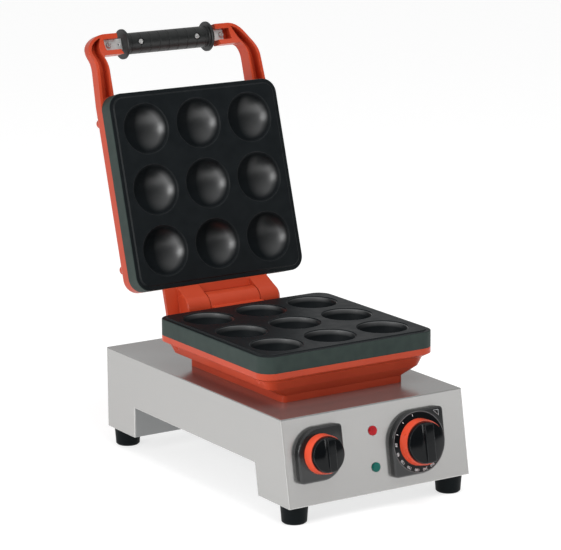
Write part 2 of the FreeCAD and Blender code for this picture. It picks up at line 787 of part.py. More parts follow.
def element():
    """Tubular heating element, a U between the columns of bowls with its ends at the rear."""
    x = PITCH_X / 2
    front = PLATE_Y - PITCH_Y / 2
    rear = PLATE_Y + PLATE_D / 2 - SKIRT_T - 12.0
    bend = ELEMENT_BEND
    z = FACE_Z - PLATE_T - ELEMENT_R - SEAT
    k = bend * (1 - math.sqrt(0.5))
    edges = [
        Part.makeLine(V(-x, rear, z), V(-x, front + bend, z)),
        Part.Arc(V(-x, front + bend, z), V(-x + k, front + k, z), V(-x + bend, front, z)).toShape(),
        Part.makeLine(V(-x + bend, front, z), V(x - bend, front, z)),
        Part.Arc(V(x - bend, front, z), V(x - k, front + k, z), V(x, front + bend, z)).toShape(),
        Part.makeLine(V(x, front + bend, z), V(x, rear, z)),
    ]
    path = Part.Wire(edges)
    ring = Part.Wire([Part.makeCircle(ELEMENT_R, V(-x, rear, z), V(0, 1, 0))])
    tube = path.makePipeShell([ring], True, False)
    pins = []
    for side in (-1, 1):
        pins.append(Part.makeCylinder(1.8, 10.0, V(side * x, rear - 2.0, z), V(0, 1, 0)))
    return fuse([tube] + pins)


def lower_insulation():
    z0 = TAPER_Z + CAST_T + FLOOR_T
    inset = CAST_T + OVER
    sheet = rounded_block(PLATE_W / 2 - WALL_IN_X - inset, PLATE_D / 2 - WALL_IN_Y - inset, PLATE_Y,
                          z0, z0 + INSULATION_T, PLATE_R)
    return sheet.cut(cyl_z(0, PLATE_Y, z0 - OVER, z0 + INSULATION_T + OVER, WIRE_HOLE_R + OVER))


def lower_plate_screws():
    return Part.makeCompound([screw(x, y, RIM_Z, RIM_H + SCREW_BITE) for x, y in plate_screw_points()])


# Hinge.

def hinge_pin():
    """Pin from its blind end in the left knuckle to the cap on the right."""
    return cyl_x(PIN_SHORT - BLIND_END, SIDE_END + SEAT + CAP_T / 2, HINGE_Y, HINGE_Z, PIN_R)


def hinge_collars():
    """Thin rings that part the knuckles."""
    rings = []
    for side in (-1, 1):
        x0 = min(side * CENTRE_HALF, side * (CENTRE_HALF + COLLAR_T))
        ring = cyl_x(x0, x0 + COLLAR_T, HINGE_Y, HINGE_Z, KNUCKLE_R - COLLAR_IN)
        rings.append(ring.cut(cyl_x(x0 - OVER, x0 + COLLAR_T + OVER, HINGE_Y, HINGE_Z, PIN_R + PIN_CLEAR)))
    return Part.makeCompound(rings)


def hinge_cap():
    """Cap pressed on the right end of the pin."""
    x0 = SIDE_END + RUN
    body = cyl_x(x0, x0 + CAP_T, HINGE_Y, HINGE_Z, KNUCKLE_R - CAP_IN)
    rim = edges_at(body, lambda p: near(p.x, x0 + CAP_T))
    body = body.makeChamfer(CAP_T * 0.6, rim)
    return body.cut(cyl_x(x0 - OVER, SIDE_END + SEAT + CAP_T / 2, HINGE_Y, HINGE_Z, PIN_R + PIN_CLEAR))


# Lid group, drawn closed.

def bow_side_profile():
    """Side view of the bow: flat along the lid, rising in a smooth S to the crossbar."""
    root = PLATE_FRONT + BOW_ROOT + OVER
    far = BOW_Y + RISE_FAR
    close = BOW_Y + RISE_NEAR
    middle = (far + close) / 2
    z0 = LID_Z
    z1 = LID_Z + BOW_RISE
    x = ARM_IN / 2
    front = Part.BezierCurve()
    front.setPoles([V(x, far, z0), V(x, middle, z0), V(x, middle, z1), V(x, close, z1)])
    back = Part.BezierCurve()
    d = BOW_DEPTH
    back.setPoles([V(x, close, z1 + d), V(x, middle, z1 + d), V(x, middle, z0 + d), V(x, far, z0 + d)])
    end = BOW_Y - OVER
    edges = [
        Part.makeLine(V(x, root, z0), V(x, far, z0)),
        front.toShape(),
        Part.makeLine(V(x, close, z1), V(x, end, z1)),
        Part.makeLine(V(x, end, z1), V(x, end, z1 + d)),
        Part.makeLine(V(x, end, z1 + d), V(x, close, z1 + d)),
        back.toShape(),
        Part.makeLine(V(x, far, z0 + d), V(x, root, z0 + d)),
        Part.makeLine(V(x, root, z0 + d), V(x, root, z0)),
    ]
    return Part.Face(Part.Wire(edges)).extrude(V(PLATE_W / 2 + OVER - x, 0, 0))


def bow_plan(low):
    """Plan of the right half of the bow, from its root in the lid to the end of the stub."""
    root = PLATE_FRONT + BOW_ROOT
    shoulder = PLATE_FRONT + BOW_SHOULDER
    inner_y = BOW_Y + CROSS_W
    turn = BOW_TURN
    k = turn * (1 - math.sqrt(0.5))
    stub = GRIP_HALF + STUB_GAP
    cx = ARM_OUT - BOW_R
    cy = BOW_Y + BOW_R
    q = BOW_R * math.sqrt(0.5)
    wide = PLATE_W / 2 - SEAT
    edges = [
        Part.makeLine(V(stub, BOW_Y, low), V(cx, BOW_Y, low)),
        arc_at(low, (cx, BOW_Y), (cx + q, cy - q), (ARM_OUT, cy)),
        Part.makeLine(V(ARM_OUT, cy, low), V(wide, shoulder, low)),
        Part.makeLine(V(wide, shoulder, low), V(wide, root, low)),
        Part.makeLine(V(wide, root, low), V(ARM_IN, root, low)),
        Part.makeLine(V(ARM_IN, root, low), V(ARM_IN, inner_y + turn, low)),
        arc_at(low, (ARM_IN, inner_y + turn), (ARM_IN - k, inner_y + k), (ARM_IN - turn, inner_y)),
        Part.makeLine(V(ARM_IN - turn, inner_y, low), V(stub, inner_y, low)),
        Part.makeLine(V(stub, inner_y, low), V(stub, BOW_Y, low)),
    ]
    return Part.Face(Part.Wire(edges)).extrude(V(0, 0, BOW_RISE + 2 * BOW_DEPTH))


def bow_groove():
    """Channel in the arm that follows the outer wall round the corner and runs out to a point."""
    low = LID_Z - 1
    cx = ARM_OUT - BOW_R
    cy = BOW_Y + BOW_R
    r = BOW_R - BOW_WALL - 0.5
    top_x = POCKET_END + 4.0
    top_y = cy - math.sqrt(r * r - (top_x - cx) ** 2)
    q = math.atan2(top_y - cy, top_x - cx) / 2
    root = PLATE_FRONT + GROOVE_ROOT
    inner = ARM_IN + BOW_WALL
    edges = [
        Part.makeLine(V(inner + 1.0, root, low), V(inner - 2.5, cy + 4.0, low)),
        arc_at(low, (inner - 2.5, cy + 4.0), (top_x + 6.5, cy - BOW_R * 0.4), (top_x, top_y)),
        arc_at(low, (top_x, top_y), (cx + r * math.cos(q), cy + r * math.sin(q)), (cx + r, cy)),
        Part.makeLine(V(cx + r, cy, low), V(PLATE_W / 2 - BOW_WALL, root, low)),
        Part.makeLine(V(PLATE_W / 2 - BOW_WALL, root, low), V(inner + 1.0, root, low)),
    ]
    plan = Part.Face(Part.Wire(edges)).extrude(V(0, 0, BOW_RISE + 2 * BOW_DEPTH))
    band = bow_side_profile()
    band.translate(V(0, 0, -BOW_FLOOR))
    return plan.common(band)


def bow_half():
    """Right half of the bow with its outer back edge rounded."""
    body = bow_plan(LID_Z - 5).common(bow_side_profile())
    far = BOW_Y + RISE_FAR
    close = BOW_Y + RISE_NEAR
    cx = ARM_OUT - BOW_R
    cy = BOW_Y + BOW_R

    def on_back(p):
        part = min(max((far - p.y) / (far - close), 0), 1)
        return p.z > LID_Z + part * BOW_RISE + BOW_DEPTH * 0.6

    def on_outside(p):
        on_corner = abs(math.hypot(p.x - cx, p.y - cy) - BOW_R) < 0.05 and p.x > cx and p.y < cy
        on_arm = p.x > ARM_OUT - 0.05 and p.y < PLATE_FRONT + BOW_SHOULDER + 0.05
        return near(p.y, BOW_Y) or on_corner or on_arm
    rounded = edges_at(body, lambda p: on_back(p) and on_outside(p))
    return body.makeFillet(BOW_ROUND, rounded)


def gusset(x0, x1, under):
    """Web from the lid's lower rear edge to the front of a side knuckle."""
    back = HINGE_Y - PLATE_REAR - SEAT
    rise = under - HINGE_Z
    turn = math.pi - math.atan2(rise, back) + math.acos(KNUCKLE_R / math.hypot(back, rise))
    r = KNUCKLE_R - SEAT
    touch = (HINGE_Y + r * math.cos(turn), HINGE_Z + r * math.sin(turn))
    corners = [(PLATE_REAR + SEAT, under), touch, (HINGE_Y, HINGE_Z), (HINGE_Y, under)]
    return profile_yz(corners, x0, x1)


def side_knuckle(end, under):
    """Right hand knuckle of the lid out to an end, with its gusset."""
    inner = CENTRE_HALF + COLLAR_T + RUN
    knuckle = cyl_x(inner, end, HINGE_Y, HINGE_Z, KNUCKLE_R)
    knuckle = knuckle.makeChamfer(KNUCKLE_EDGE, edges_at(knuckle, lambda p: near(p.x, end)))
    return [knuckle, gusset(inner, end - KNUCKLE_EDGE, under)]


def lid_hinge():
    """Side knuckles, the ledge that joins them to the lid, and the lug on the left."""
    under = LID_FACE_Z + LEDGE_LIFT
    shoulder = LID_TOP_Z - LID_ROUND
    knuckles = side_knuckle(SIDE_END, under) + [mirrored(shape) for shape in side_knuckle(BLIND_END, under)]
    ledge = profile_yz(
        [
            (PLATE_REAR + SEAT, under),
            (HINGE_Y, under),
            (HINGE_Y, HINGE_Z + KNUCKLE_R + LEDGE_OVER),
            (PLATE_REAR + LEDGE_HEEL, shoulder),
            (PLATE_REAR - LEDGE_ROOT, shoulder),
            (PLATE_REAR - LEDGE_ROOT, LID_Z),
            (PLATE_REAR + SEAT, LID_Z),
        ],
        -BLIND_END,
        SIDE_END,
    )
    inner = CENTRE_HALF + COLLAR_T + RUN
    relief = cyl_x(-inner, inner, HINGE_Y, HINGE_Z, KNUCKLE_R + BARREL_GAP)
    lug_end = HINGE_Y + LUG_DROP
    lug = box(-LUG_X, OVER - BLIND_END, PLATE_REAR + SEAT, lug_end, under, under + LUG_T)
    lug = lug.makeFillet(LUG_ROUND, edges_at(lug, lambda p: near(p.x, -LUG_X) and near(p.y, lug_end)))
    return knuckles + [ledge.cut(relief), lug]


def lid_casting():
    shell = plate_block(0, LID_Z, LID_TOP_Z)
    shell = shell.makeFillet(LID_ROUND, edges_at(shell, lambda p: near(p.z, LID_TOP_Z)))
    right = bow_half()
    bosses = []
    for x, y in plate_screw_points():
        bosses.append(cyl_z(x, y, LID_TOP_Z - 12.0, LID_TOP_Z + BOSS_RISE, BOSS_R))
    ribs = []
    for i in (-1, 0, 1):
        x = i * LID_RIB_PITCH - LID_RIB_W / 2
        y0 = PLATE_FRONT + LID_RIB_IN
        y1 = PLATE_REAR - LID_RIB_IN
        ribs.append(box(x, x + LID_RIB_W, y0, y1, LID_TOP_Z - 2 * OVER, LID_TOP_Z + LID_RIB_H))
    body = fuse([shell, right, mirrored(right)] + lid_hinge() + bosses + ribs)
    half_x = PLATE_W / 2 - CAST_T - POCKET_IN
    half_y = PLATE_D / 2 - CAST_T - POCKET_IN
    hollow = rounded_block(half_x, half_y, PLATE_Y, LID_Z - OVER, LID_TOP_Z - LID_ROOF, PLATE_R)
    groove = bow_groove().cut(plate_block(0, LID_Z - 2, LID_TOP_Z + 2))
    half = STRAP_W / 2 + SEAT
    floor = GRIP_Z + STRAP_T / 2
    pocket = box(GRIP_HALF - 1, POCKET_END, GRIP_Y - half, GRIP_Y + half, LID_Z - 1, floor)
    tools = [hollow, groove, mirrored(groove), pocket, mirrored(pocket)]
    tools.append(cyl_x(PIN_SHORT - BLIND_END - SEAT, SIDE_END + OVER, HINGE_Y, HINGE_Z, PIN_R + PIN_CLEAR))
    tools += [screw_hole(x, GRIP_Y, floor - 1, 7.0) for x in (-STRAP_SCREW_X, STRAP_SCREW_X)]
    for x, y in plate_screw_points():
        tools.append(cyl_z(x, y, LID_Z - 1, LID_TOP_Z + BOSS_RISE + 1, SCREW_R + PIN_CLEAR))
    return cut(body, tools)


def lid_insulation():
    z1 = LID_TOP_Z - LID_ROOF
    inset = CAST_T + POCKET_IN + OVER
    return rounded_block(PLATE_W / 2 - inset, PLATE_D / 2 - inset, PLATE_Y, z1 - INSULATION_T, z1, PLATE_R)


def lid_plate_screws():
    z = LID_TOP_Z + BOSS_RISE
    length = BOSS_RISE + LID_H + SCREW_BITE
    return Part.makeCompound([screw(x, y, z, length, up=False) for x, y in plate_screw_points()])


def strap():
    """Flat steel strap through the grip, with a small hole beside each flange."""
    half = STRAP_W / 2
    low = GRIP_Z - STRAP_T / 2
    high = GRIP_Z + STRAP_T / 2
    left = STRAP_SHORT_LEFT - POCKET_END
    right = POCKET_END - STRAP_SHORT_RIGHT
    bar = box(left, right, GRIP_Y - half, GRIP_Y + half, low, high)

    def at_end(p):
        return near(abs(p.y - GRIP_Y), half) and (near(p.x, left) or near(p.x, right))
    bar = bar.makeFillet(2.0, edges_at(bar, at_end))
    holes = []
    for x in (-STRAP_SCREW_X, -GRIP_SCREW_X, GRIP_SCREW_X, STRAP_SCREW_X):
        holes.append(screw_hole(x, GRIP_Y, GRIP_Z - STRAP_T, 2 * STRAP_T))
    for side in (-1, 1):
        x = side * (GRIP_HALF + STRAP_HOLE_OUT)
        holes.append(cyl_z(x, GRIP_Y, GRIP_Z - STRAP_T, GRIP_Z + STRAP_T, STRAP_HOLE_R))
    return cut(bar, holes)


def strap_screws():
    z = GRIP_Z - STRAP_T / 2
    return Part.makeCompound([screw(x, GRIP_Y, z, STRAP_T + 6.0) for x in (-STRAP_SCREW_X, STRAP_SCREW_X)])


def grip_solid():
    """Turned grip with a flange at each end and shallow rings along the body."""
    points = [(-GRIP_HALF, 0), (-GRIP_HALF, FLANGE_R - 1), (-GRIP_HALF + 1, FLANGE_R)]
    inner = GRIP_HALF - FLANGE_T
    points += [(-inner - 1, FLANGE_R), (-inner, FLANGE_R - 1), (-inner, GRIP_R + 1), (-inner + 1, GRIP_R)]
    count = int(inner / RING_PITCH)
    for i in range(-count, count + 1):
        x = i * RING_PITCH
        points += [(x - RING_W, GRIP_R), (x, GRIP_R - RING_DEPTH), (x + RING_W, GRIP_R)]
    points += [(inner - 1, GRIP_R), (inner, GRIP_R + 1), (inner, FLANGE_R - 1), (inner + 1, FLANGE_R)]
    points += [(GRIP_HALF - 1, FLANGE_R), (GRIP_HALF, FLANGE_R - 1), (GRIP_HALF, 0)]
    face = Part.Face(polygon([(x, GRIP_Y, GRIP_Z + r) for x, r in points]))
    body = face.revolve(V(0, GRIP_Y, GRIP_Z), V(1, 0, 0), 360)
    half = STRAP_W / 2 + SEAT
    low = GRIP_Z - STRAP_T / 2 - SEAT
    high = GRIP_Z + STRAP_T / 2
    return body.cut(box(-GRIP_HALF - OVER, GRIP_HALF + OVER, GRIP_Y - half, GRIP_Y + half, low, high))


def grip_half(z0, z1):
    """The part of the grip between two heights."""
    reach = FLANGE_R + OVER
    slab = box(-GRIP_HALF - OVER, GRIP_HALF + OVER, GRIP_Y - reach, GRIP_Y + reach, z0, z1)
    return grip_solid().common(slab)


def grip_front():
    """Half of the grip on the plate side, with two screw wells."""
    half = grip_half(GRIP_Z - FLANGE_R - OVER, GRIP_Z)
    wells = []
    seat = grip_screw_seat()
    for x in (-GRIP_SCREW_X, GRIP_SCREW_X):
        wells.append(cyl_z(x, GRIP_Y, GRIP_Z - FLANGE_R, seat, HEAD_R + 0.5))
        wells.append(cyl_z(x, GRIP_Y, seat - 1, GRIP_Z, SCREW_R + PIN_CLEAR))
    return cut(half, wells)


def grip_rear():
    half = grip_half(GRIP_Z, GRIP_Z + FLANGE_R + OVER)
    seat = grip_screw_seat()
    length = GRIP_Z + GRIP_R * 0.6 - seat
    return cut(half, [screw_hole(x, GRIP_Y, seat, length) for x in (-GRIP_SCREW_X, GRIP_SCREW_X)])


def grip_screw_seat():
    return GRIP_Z - GRIP_R + HEAD_H + 0.6


def grip_screws():
    z = grip_screw_seat()
    length = GRIP_Z + GRIP_R * 0.6 - z
    return Part.makeCompound([screw(x, GRIP_Y, z, length) for x in (-GRIP_SCREW_X, GRIP_SCREW_X)])


# Controls, drawn about z and then set on the front.

def bezel(h, dial):
    """Round plate with square corners at the upper right and lower left, and a well for a dial."""
    c = BEZEL_CORNER
    k = c * (1 - math.sqrt(0.5))
    q = h * math.sqrt(0.5)
    edges = [
        Part.makeLine(V(0, h, 0), V(h - c, h, 0)),
        Part.Arc(V(h - c, h, 0), V(h - k, h - k, 0), V(h, h - c, 0)).toShape(),
        Part.makeLine(V(h, h - c, 0), V(h, 0, 0)),
        Part.Arc(V(h, 0, 0), V(q, -q, 0), V(0, -h, 0)).toShape(),
        Part.makeLine(V(0, -h, 0), V(c - h, -h, 0)),
        Part.Arc(V(c - h, -h, 0), V(k - h, k - h, 0), V(-h, c - h, 0)).toShape(),
        Part.makeLine(V(-h, c - h, 0), V(-h, 0, 0)),
        Part.Arc(V(-h, 0, 0), V(-q, q, 0), V(0, h, 0)).toShape(),
    ]
    body = Part.Face(Part.Wire(edges)).extrude(V(0, 0, BEZEL_T))
    body = body.makeChamfer(BEZEL_EDGE, edges_at(body, lambda p: near(p.z, BEZEL_T)))
    back = cyl_z(0, 0, -OVER, BEZEL_T - DIAL_T - BEZEL_WALL, h - BEZEL_RIM)
    tools = [back, cyl_z(0, 0, -OVER, BEZEL_T + OVER, SHAFT_R + 2.0)]
    if dial:
        tools.append(cyl_z(0, 0, BEZEL_T - DIAL_T, BEZEL_T + 1, h - DIAL_MARGIN + RUN))
    return cut(body, tools)


def dial_disc():
    r = RIGHT_BEZEL - DIAL_MARGIN
    disc = cyl_z(0, 0, BEZEL_T + RUN - DIAL_T, BEZEL_T + RUN, r)
    return disc.cut(cyl_z(0, 0, 0, BEZEL_T + 1, SHAFT_R + SHAFT_CLEAR))


def knob_ring(r):
    z0 = BEZEL_T + RUN
    body = Part.makeCone(r, r - RING_DRAFT, RING_T, V(0, 0, z0), V(0, 0, 1))
    return body.cut(cyl_z(0, 0, z0 - 1, z0 + RING_T + 1, SHAFT_R + SHAFT_CLEAR))


def knob_scoop(r, side):
    """Tool that hollows one side of a knob down to its sloping rim and leaves its bar."""
    rim = BEZEL_T + RUN + RING_T + KNOB_BASE
    low = rim + KNOB_FALL
    high = KNOB_TIP - KNOB_SHOULDER
    sweep = math.radians(HOLLOW_TURN)
    hollow = (high - low) / math.sin(sweep)
    bar = r * BAR_SHARE
    y = -2 * r

    def on_hollow(a):
        return V(side * (bar + hollow * (1 - math.cos(a))), y, high - hollow * math.sin(a))
    corners = [
        on_hollow(sweep),
        V(side * (r + OVER), y, rim),
        V(side * (r + OVER), y, KNOB_TIP + OVER),
        V(side * bar, y, KNOB_TIP + OVER),
        on_hollow(0),
    ]
    edges = [Part.makeLine(a, b) for a, b in zip(corners, corners[1:])]
    edges.append(Part.Arc(on_hollow(0), on_hollow(sweep / 2), on_hollow(sweep)).toShape())
    return Part.Face(Part.Wire(edges)).extrude(V(0, 4 * r, 0))


def knob(r):
    """Tapered knob with a full-width bar grip, its sides scooped out."""
    z0 = BEZEL_T + RUN + RING_T
    body = Part.makeCone(r, r - KNOB_DRAFT, KNOB_TIP - z0, V(0, 0, z0), V(0, 0, 1))
    body = body.makeChamfer(KNOB_EDGE, edges_at(body, lambda p: near(p.z, KNOB_TIP)))
    bore = cyl_z(0, 0, z0 - OVER, SHAFT_TIP + SEAT, SHAFT_R + SHAFT_CLEAR)
    return cut(body, [knob_scoop(r, -1), knob_scoop(r, 1), bore])


def shaft():
    return cyl_z(0, 0, -SHEET - SHAFT_IN, SHAFT_TIP, SHAFT_R)


def control_body(half, depth):
    """Switch body behind the panel with its neck and four terminal blades."""
    back = -SHEET - depth
    body = box(-half, half, -half, half, back, -SHEET)
    upright = edges_at(body, lambda p: near(abs(p.x), half) and near(abs(p.y), half))
    body = body.makeFillet(BODY_CORNER, upright)
    neck = cyl_z(0, 0, -SHEET - OVER, BEZEL_T - DIAL_T - SEAT, SHAFT_R + NECK_T)
    blades = []
    for sx, sy in CORNERS:
        x = sx * half / 2
        y = sy * half / 2
        blades.append(box(x - BLADE_HALF_W, x + BLADE_HALF_W, y - BLADE_HALF_T, y + BLADE_HALF_T,
                          back - BLADE_L, back + OVER))
    bore = cyl_z(0, 0, -SHEET - SHAFT_IN - SEAT, BEZEL_T, SHAFT_R + SHAFT_CLEAR)
    return fuse([body, neck] + blades).cut(bore)


def lamp_lens():
    dome = cyl_z(0, 0, 0, LAMP_OUT, LAMP_R)
    dome = dome.makeChamfer(LAMP_OUT * 0.5, edges_at(dome, lambda p: near(p.z, LAMP_OUT)))
    return fuse([dome, cyl_z(0, 0, -SHEET, 1, LAMP_R * 0.8)])


def lamp_body():
    barrel = cyl_z(0, 0, -SHEET - 18.0, -SHEET, LAMP_R * 0.8 + 2.0)
    pins = [box(x - 1.5, x + 1.5, -0.4, 0.4, -SHEET - 25.0, -SHEET - 17.0) for x in (-3.5, 3.5)]
    return fuse([barrel] + pins)


def rear_screw_points():
    x = CHASSIS_W / 2 - SHEET - FLANGE_W / 2
    return [(side * x, z) for side in (-1, 1) for z in (FOOT_H + 18.0, FOOT_H + CHASSIS_H / 2, TOP_Z - 18.0)]


def rear_screws():
    screws = []
    for x, z in rear_screw_points():
        one = screw(0, 0, 0, 2 * SHEET + 1.0)
        one.rotate(V(0, 0, 0), V(1, 0, 0), 90)
        one.translate(V(x, REAR_Y, z))
        screws.append(one)
    return Part.makeCompound(screws)


def rear_flanges():
    """Folds behind the rear panel that its screws bite into."""
    wide = CHASSIS_W / 2 - SHEET
    flanges = []
    for side in (-1, 1):
        x0 = min(side * wide, side * (wide - FLANGE_W))
        low = FOOT_H + SHEET + SEAT
        flanges.append(box(x0, x0 + FLANGE_W, REAR_Y - 2 * SHEET, REAR_Y - SHEET, low, TOP_Z - SHEET))
    return flanges


def rear_screw_holes():
    tools = []
    for x, z in rear_screw_points():
        tools.append(Part.makeCylinder(SCREW_R + PIN_CLEAR, 4 * SHEET, V(x, REAR_Y + 1, z), V(0, -1, 0)))
    return tools


def lamp_set(s):
    return [on_panel(lamp_lens(), LAMP_X, s), on_panel(lamp_body(), LAMP_X, s)]


def build():
    parts = {
        "chassis_shell": cut(fuse([chassis_shell()] + rear_flanges()), rear_screw_holes()),
        "bottom_pan": bottom_pan(),
        "rear_panel": cut(rear_panel(), rear_screw_holes()),
        "rear_screws": rear_screws(),
        "feet": feet(),
        "foot_screws": foot_screws(),
        "cable_gland": cable_gland(),
        "gland_nut": gland_nut(),
        "terminal_block": terminal_block(),
        "lower_casting": lower_casting(),
        "casting_bolts": casting_bolts(),
        "wire_sleeve": wire_sleeve(),
        "lower_plate": plate(),
        "lower_element": element(),
        "lower_insulation": lower_insulation(),
        "lower_plate_screws": lower_plate_screws(),
        "hinge_pin": hinge_pin(),
        "hinge_collars": hinge_collars(),
        "hinge_cap": hinge_cap(),
        "bezel_left": on_panel(bezel(LEFT_BEZEL, False), LEFT_X, LEFT_S),
        "bezel_right": on_panel(bezel(RIGHT_BEZEL, True), RIGHT_X, RIGHT_S),
        "switch_body": on_panel(control_body(SWITCH_HALF, SWITCH_DEPTH), LEFT_X, LEFT_S),
        "thermostat_body": on_panel(control_body(THERMOSTAT_HALF, THERMOSTAT_DEPTH), RIGHT_X, RIGHT_S),
        "switch_shaft": on_panel(shaft(), LEFT_X, LEFT_S),
        "thermostat_shaft": on_panel(shaft(), RIGHT_X, RIGHT_S),
        "ring_left": on_panel(knob_ring(LEFT_RING_R), LEFT_X, LEFT_S),
        "ring_right": on_panel(knob_ring(RIGHT_RING_R), RIGHT_X, RIGHT_S),
        "knob_left": on_panel(knob(LEFT_KNOB_R), LEFT_X, LEFT_S),
        "knob_right": on_panel(knob(RIGHT_KNOB_R), RIGHT_X, RIGHT_S),
        "dial_disc": on_panel(dial_disc(), RIGHT_X, RIGHT_S),
        "lid_casting": opened(lid_casting()),
        "lid_plate": opened(flipped(plate())),
        "lid_element": opened(flipped(element())),
        "lid_insulation": opened(lid_insulation()),
        "lid_plate_screws": opened(lid_plate_screws()),
        "strap": opened(strap()),
        "strap_screws": opened(strap_screws()),
        "grip_front": opened(grip_front()),
        "grip_rear": opened(grip_rear()),
        "grip_screws": opened(grip_screws()),
    }
    parts["lamp_red_lens"], parts["lamp_red_body"] = lamp_set(LAMP_RED_S)
    parts["lamp_green_lens"], parts["lamp_green_body"] = lamp_set(LAMP_GREEN_S)
    return parts


for node, shape in build().items():
    shape.exportStep("parts/" + node + ".step")
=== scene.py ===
import bpy
import bmesh
import json
import math
from mathutils import Matrix, Vector


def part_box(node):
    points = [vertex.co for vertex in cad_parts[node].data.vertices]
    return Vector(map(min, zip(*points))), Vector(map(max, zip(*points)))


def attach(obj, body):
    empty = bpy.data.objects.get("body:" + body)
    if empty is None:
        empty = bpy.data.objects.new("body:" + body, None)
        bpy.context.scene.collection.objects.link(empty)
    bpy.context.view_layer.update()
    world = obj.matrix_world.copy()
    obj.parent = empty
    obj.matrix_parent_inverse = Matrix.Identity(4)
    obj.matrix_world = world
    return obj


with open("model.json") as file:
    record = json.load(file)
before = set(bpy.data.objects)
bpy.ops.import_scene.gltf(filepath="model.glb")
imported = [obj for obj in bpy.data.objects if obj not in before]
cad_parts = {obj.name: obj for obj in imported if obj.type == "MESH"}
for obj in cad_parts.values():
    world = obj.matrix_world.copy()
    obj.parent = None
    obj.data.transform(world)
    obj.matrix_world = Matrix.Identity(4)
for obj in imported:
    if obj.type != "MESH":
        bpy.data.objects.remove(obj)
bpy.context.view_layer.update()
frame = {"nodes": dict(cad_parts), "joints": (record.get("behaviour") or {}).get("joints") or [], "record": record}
nodes = frame["nodes"]

# All lengths are in metres, in the frame's own axes.
MM = 0.001

# The camera, measured from the middle of the chassis's lower front edge; angles in degrees.
CAMERA_FROM_FRONT = Vector((-2.1124, -3.0579, 1.1867))
CAMERA_YAW = -32.53
CAMERA_PITCH = 12.94
CAMERA_ROLL = -0.38
CAMERA_NEAR = 0.1
CAMERA_FAR = 50
FOCAL_IN_WIDTHS = 2815.04 / 561

# The round floor, wide enough to fill every view, with a light of its own.
FLOOR_R = 14.0
FLOOR_SIDES = 96
FLOOR_GLOW = 0.69
FLOOR_GREYS = ((0.48, 0.48, 0.48), (0.50, 0.50, 0.50))

# The white dome: brightness at the horizon, and what the zenith and the far side add.
DOME_LOW = 0.13
DOME_HIGH = 0.7
DOME_BACK = 0.5

# Area lights: name, place, target, size across and up, watts, and whether reflections show it.
MIDDLE = (0, 0, 0.3)
FRONT_LOW = (0, 0, 0.15)
LIGHTS = (
    ("key_left", (-1.9, -0.5, 0.85), MIDDLE, (0.8, 1.0), 16, True),
    ("top_front", (0.2, -1.2, 2.6), MIDDLE, (1.8, 1.8), 34, False),
    ("low_right", (1.4, -2.1, 0.3), FRONT_LOW, (1.3, 0.5), 1.8, True),
)

# Marks on the dial: angles in degrees, counter-clockwise from the top.
DIAL_NUMBERS = ("60", "90", "120", "150", "180", "240", "300")
NUMBER_FIRST = 88.0
NUMBER_STEP = 20.0
NUMBER_H = 5.2 * MM
TICK_FIRST = 11.0
TICK_STEP = 27.8
TICK_COUNT = 3
TICK_HALF = (0.5 * MM, 1.4 * MM)
MARK_IN = 3.4 * MM
MARK_T = 0.08 * MM

# The bead round the dial's well; its light grey is a painted highlight along the well's edge.
BEAD_R = 0.45 * MM
BEAD_POINTS = 32

# The index triangle in the right bezel's upper corner: how far in from the side and from the
# top it lies, the length of its short sides, and the width of its line.
INDEX_SIDE = 8.0 * MM
INDEX_TOP = 4.4 * MM
INDEX_SIZE = 8.2 * MM
INDEX_LINE = 0.6 * MM

# The plates: their corners, how far inside their outline the skirt's colour starts, and the
# radius that holds a cavity with its rounded lip.
PLATE_CORNER = 22 * MM
SKIRT_SKIN = 0.7 * MM
BOWL_R = 36.5 * MM

# The gloss in the cavities: how far its normal leans to the plate's axis, where it fades out
# before the rims of the lid (in radii), and how deep it goes under the rims of the lower plate.
GLOSS_LEAN = 0.40
RIM_FADE = (0.84, 0.98)
RIM_BAND = 8 * MM

# Where that gloss rises from the left of a cavity to its right, in radii, and its index.
LID_GLOSS = {"rise": (-0.05, 0.80), "ior": 2.15}
LOWER_GLOSS = {"rise": (-0.75, 0.10), "ior": 2.3}

# The radii that the shading gives to sharp edges.
ENAMEL_EDGE = 1.0 * MM
STEEL_EDGE = 1.8 * MM
COATING_EDGE = 0.9 * MM
PLASTIC_EDGE = 0.5 * MM
BEZEL_EDGE = 2.4 * MM
KNOB_EDGE = 2.0 * MM

# An edge's mask: how alike the rounded and the plain normal are on the edge and away from it.
EDGE_LIKENESS = (0.88, 0.985)

# Brushed steel: the noise's scale along its strokes and across them, and the normal's upright
# part from which a face counts as level.
STROKE_LONG = 6
STROKE_FINE = 900
LEVEL_FROM = 0.7

# Its colour between the strokes and the painted highlight on its folds, as shares of its tone, and the brightest
# that highlight may be.
STROKE_DARK = 0.965
PAINTED_FOLD_HIGHLIGHT = 1.9
PAINTED_FOLD_HIGHLIGHT_LIMIT = 0.95

# How far an uneven gloss strays from a finish's roughness, and how far steel's slow cloud does.
GLOSS_BELOW = 0.03
GLOSS_ABOVE = 0.04
CLOUD = 0.03

# Roughness of the enamel and of the plates: their face, skirt and cavities.
ENAMEL_ROUGH = (0.28, 0.38)
FACE_ROUGH = (0.40, 0.50)
SKIRT_ROUGH = 0.55
BOWL_ROUGH = 0.62

# How much of the thin enamel and of the worn metal shows on an edge, each with a painted highlight laid on it.
ENAMEL_THINNING_AND_HIGHLIGHT = 0.55
COATING_WEAR_AND_HIGHLIGHT = 0.5

# Colours of the finishes with more than one, in linear light.
ENAMEL_DEEP = (0.48, 0.050, 0.018)
ENAMEL_FULL = (0.55, 0.064, 0.024)
# The enamel's edge colour: thinner enamel with a painted highlight.
ENAMEL_THIN_AND_HIGHLIGHT = (0.72, 0.13, 0.06)
FACE_TONES = ((0.0046, 0.0064, 0.0076), (0.0066, 0.0088, 0.0102))
FLANK_TONES = ((0.028, 0.042, 0.038), (0.037, 0.053, 0.047))
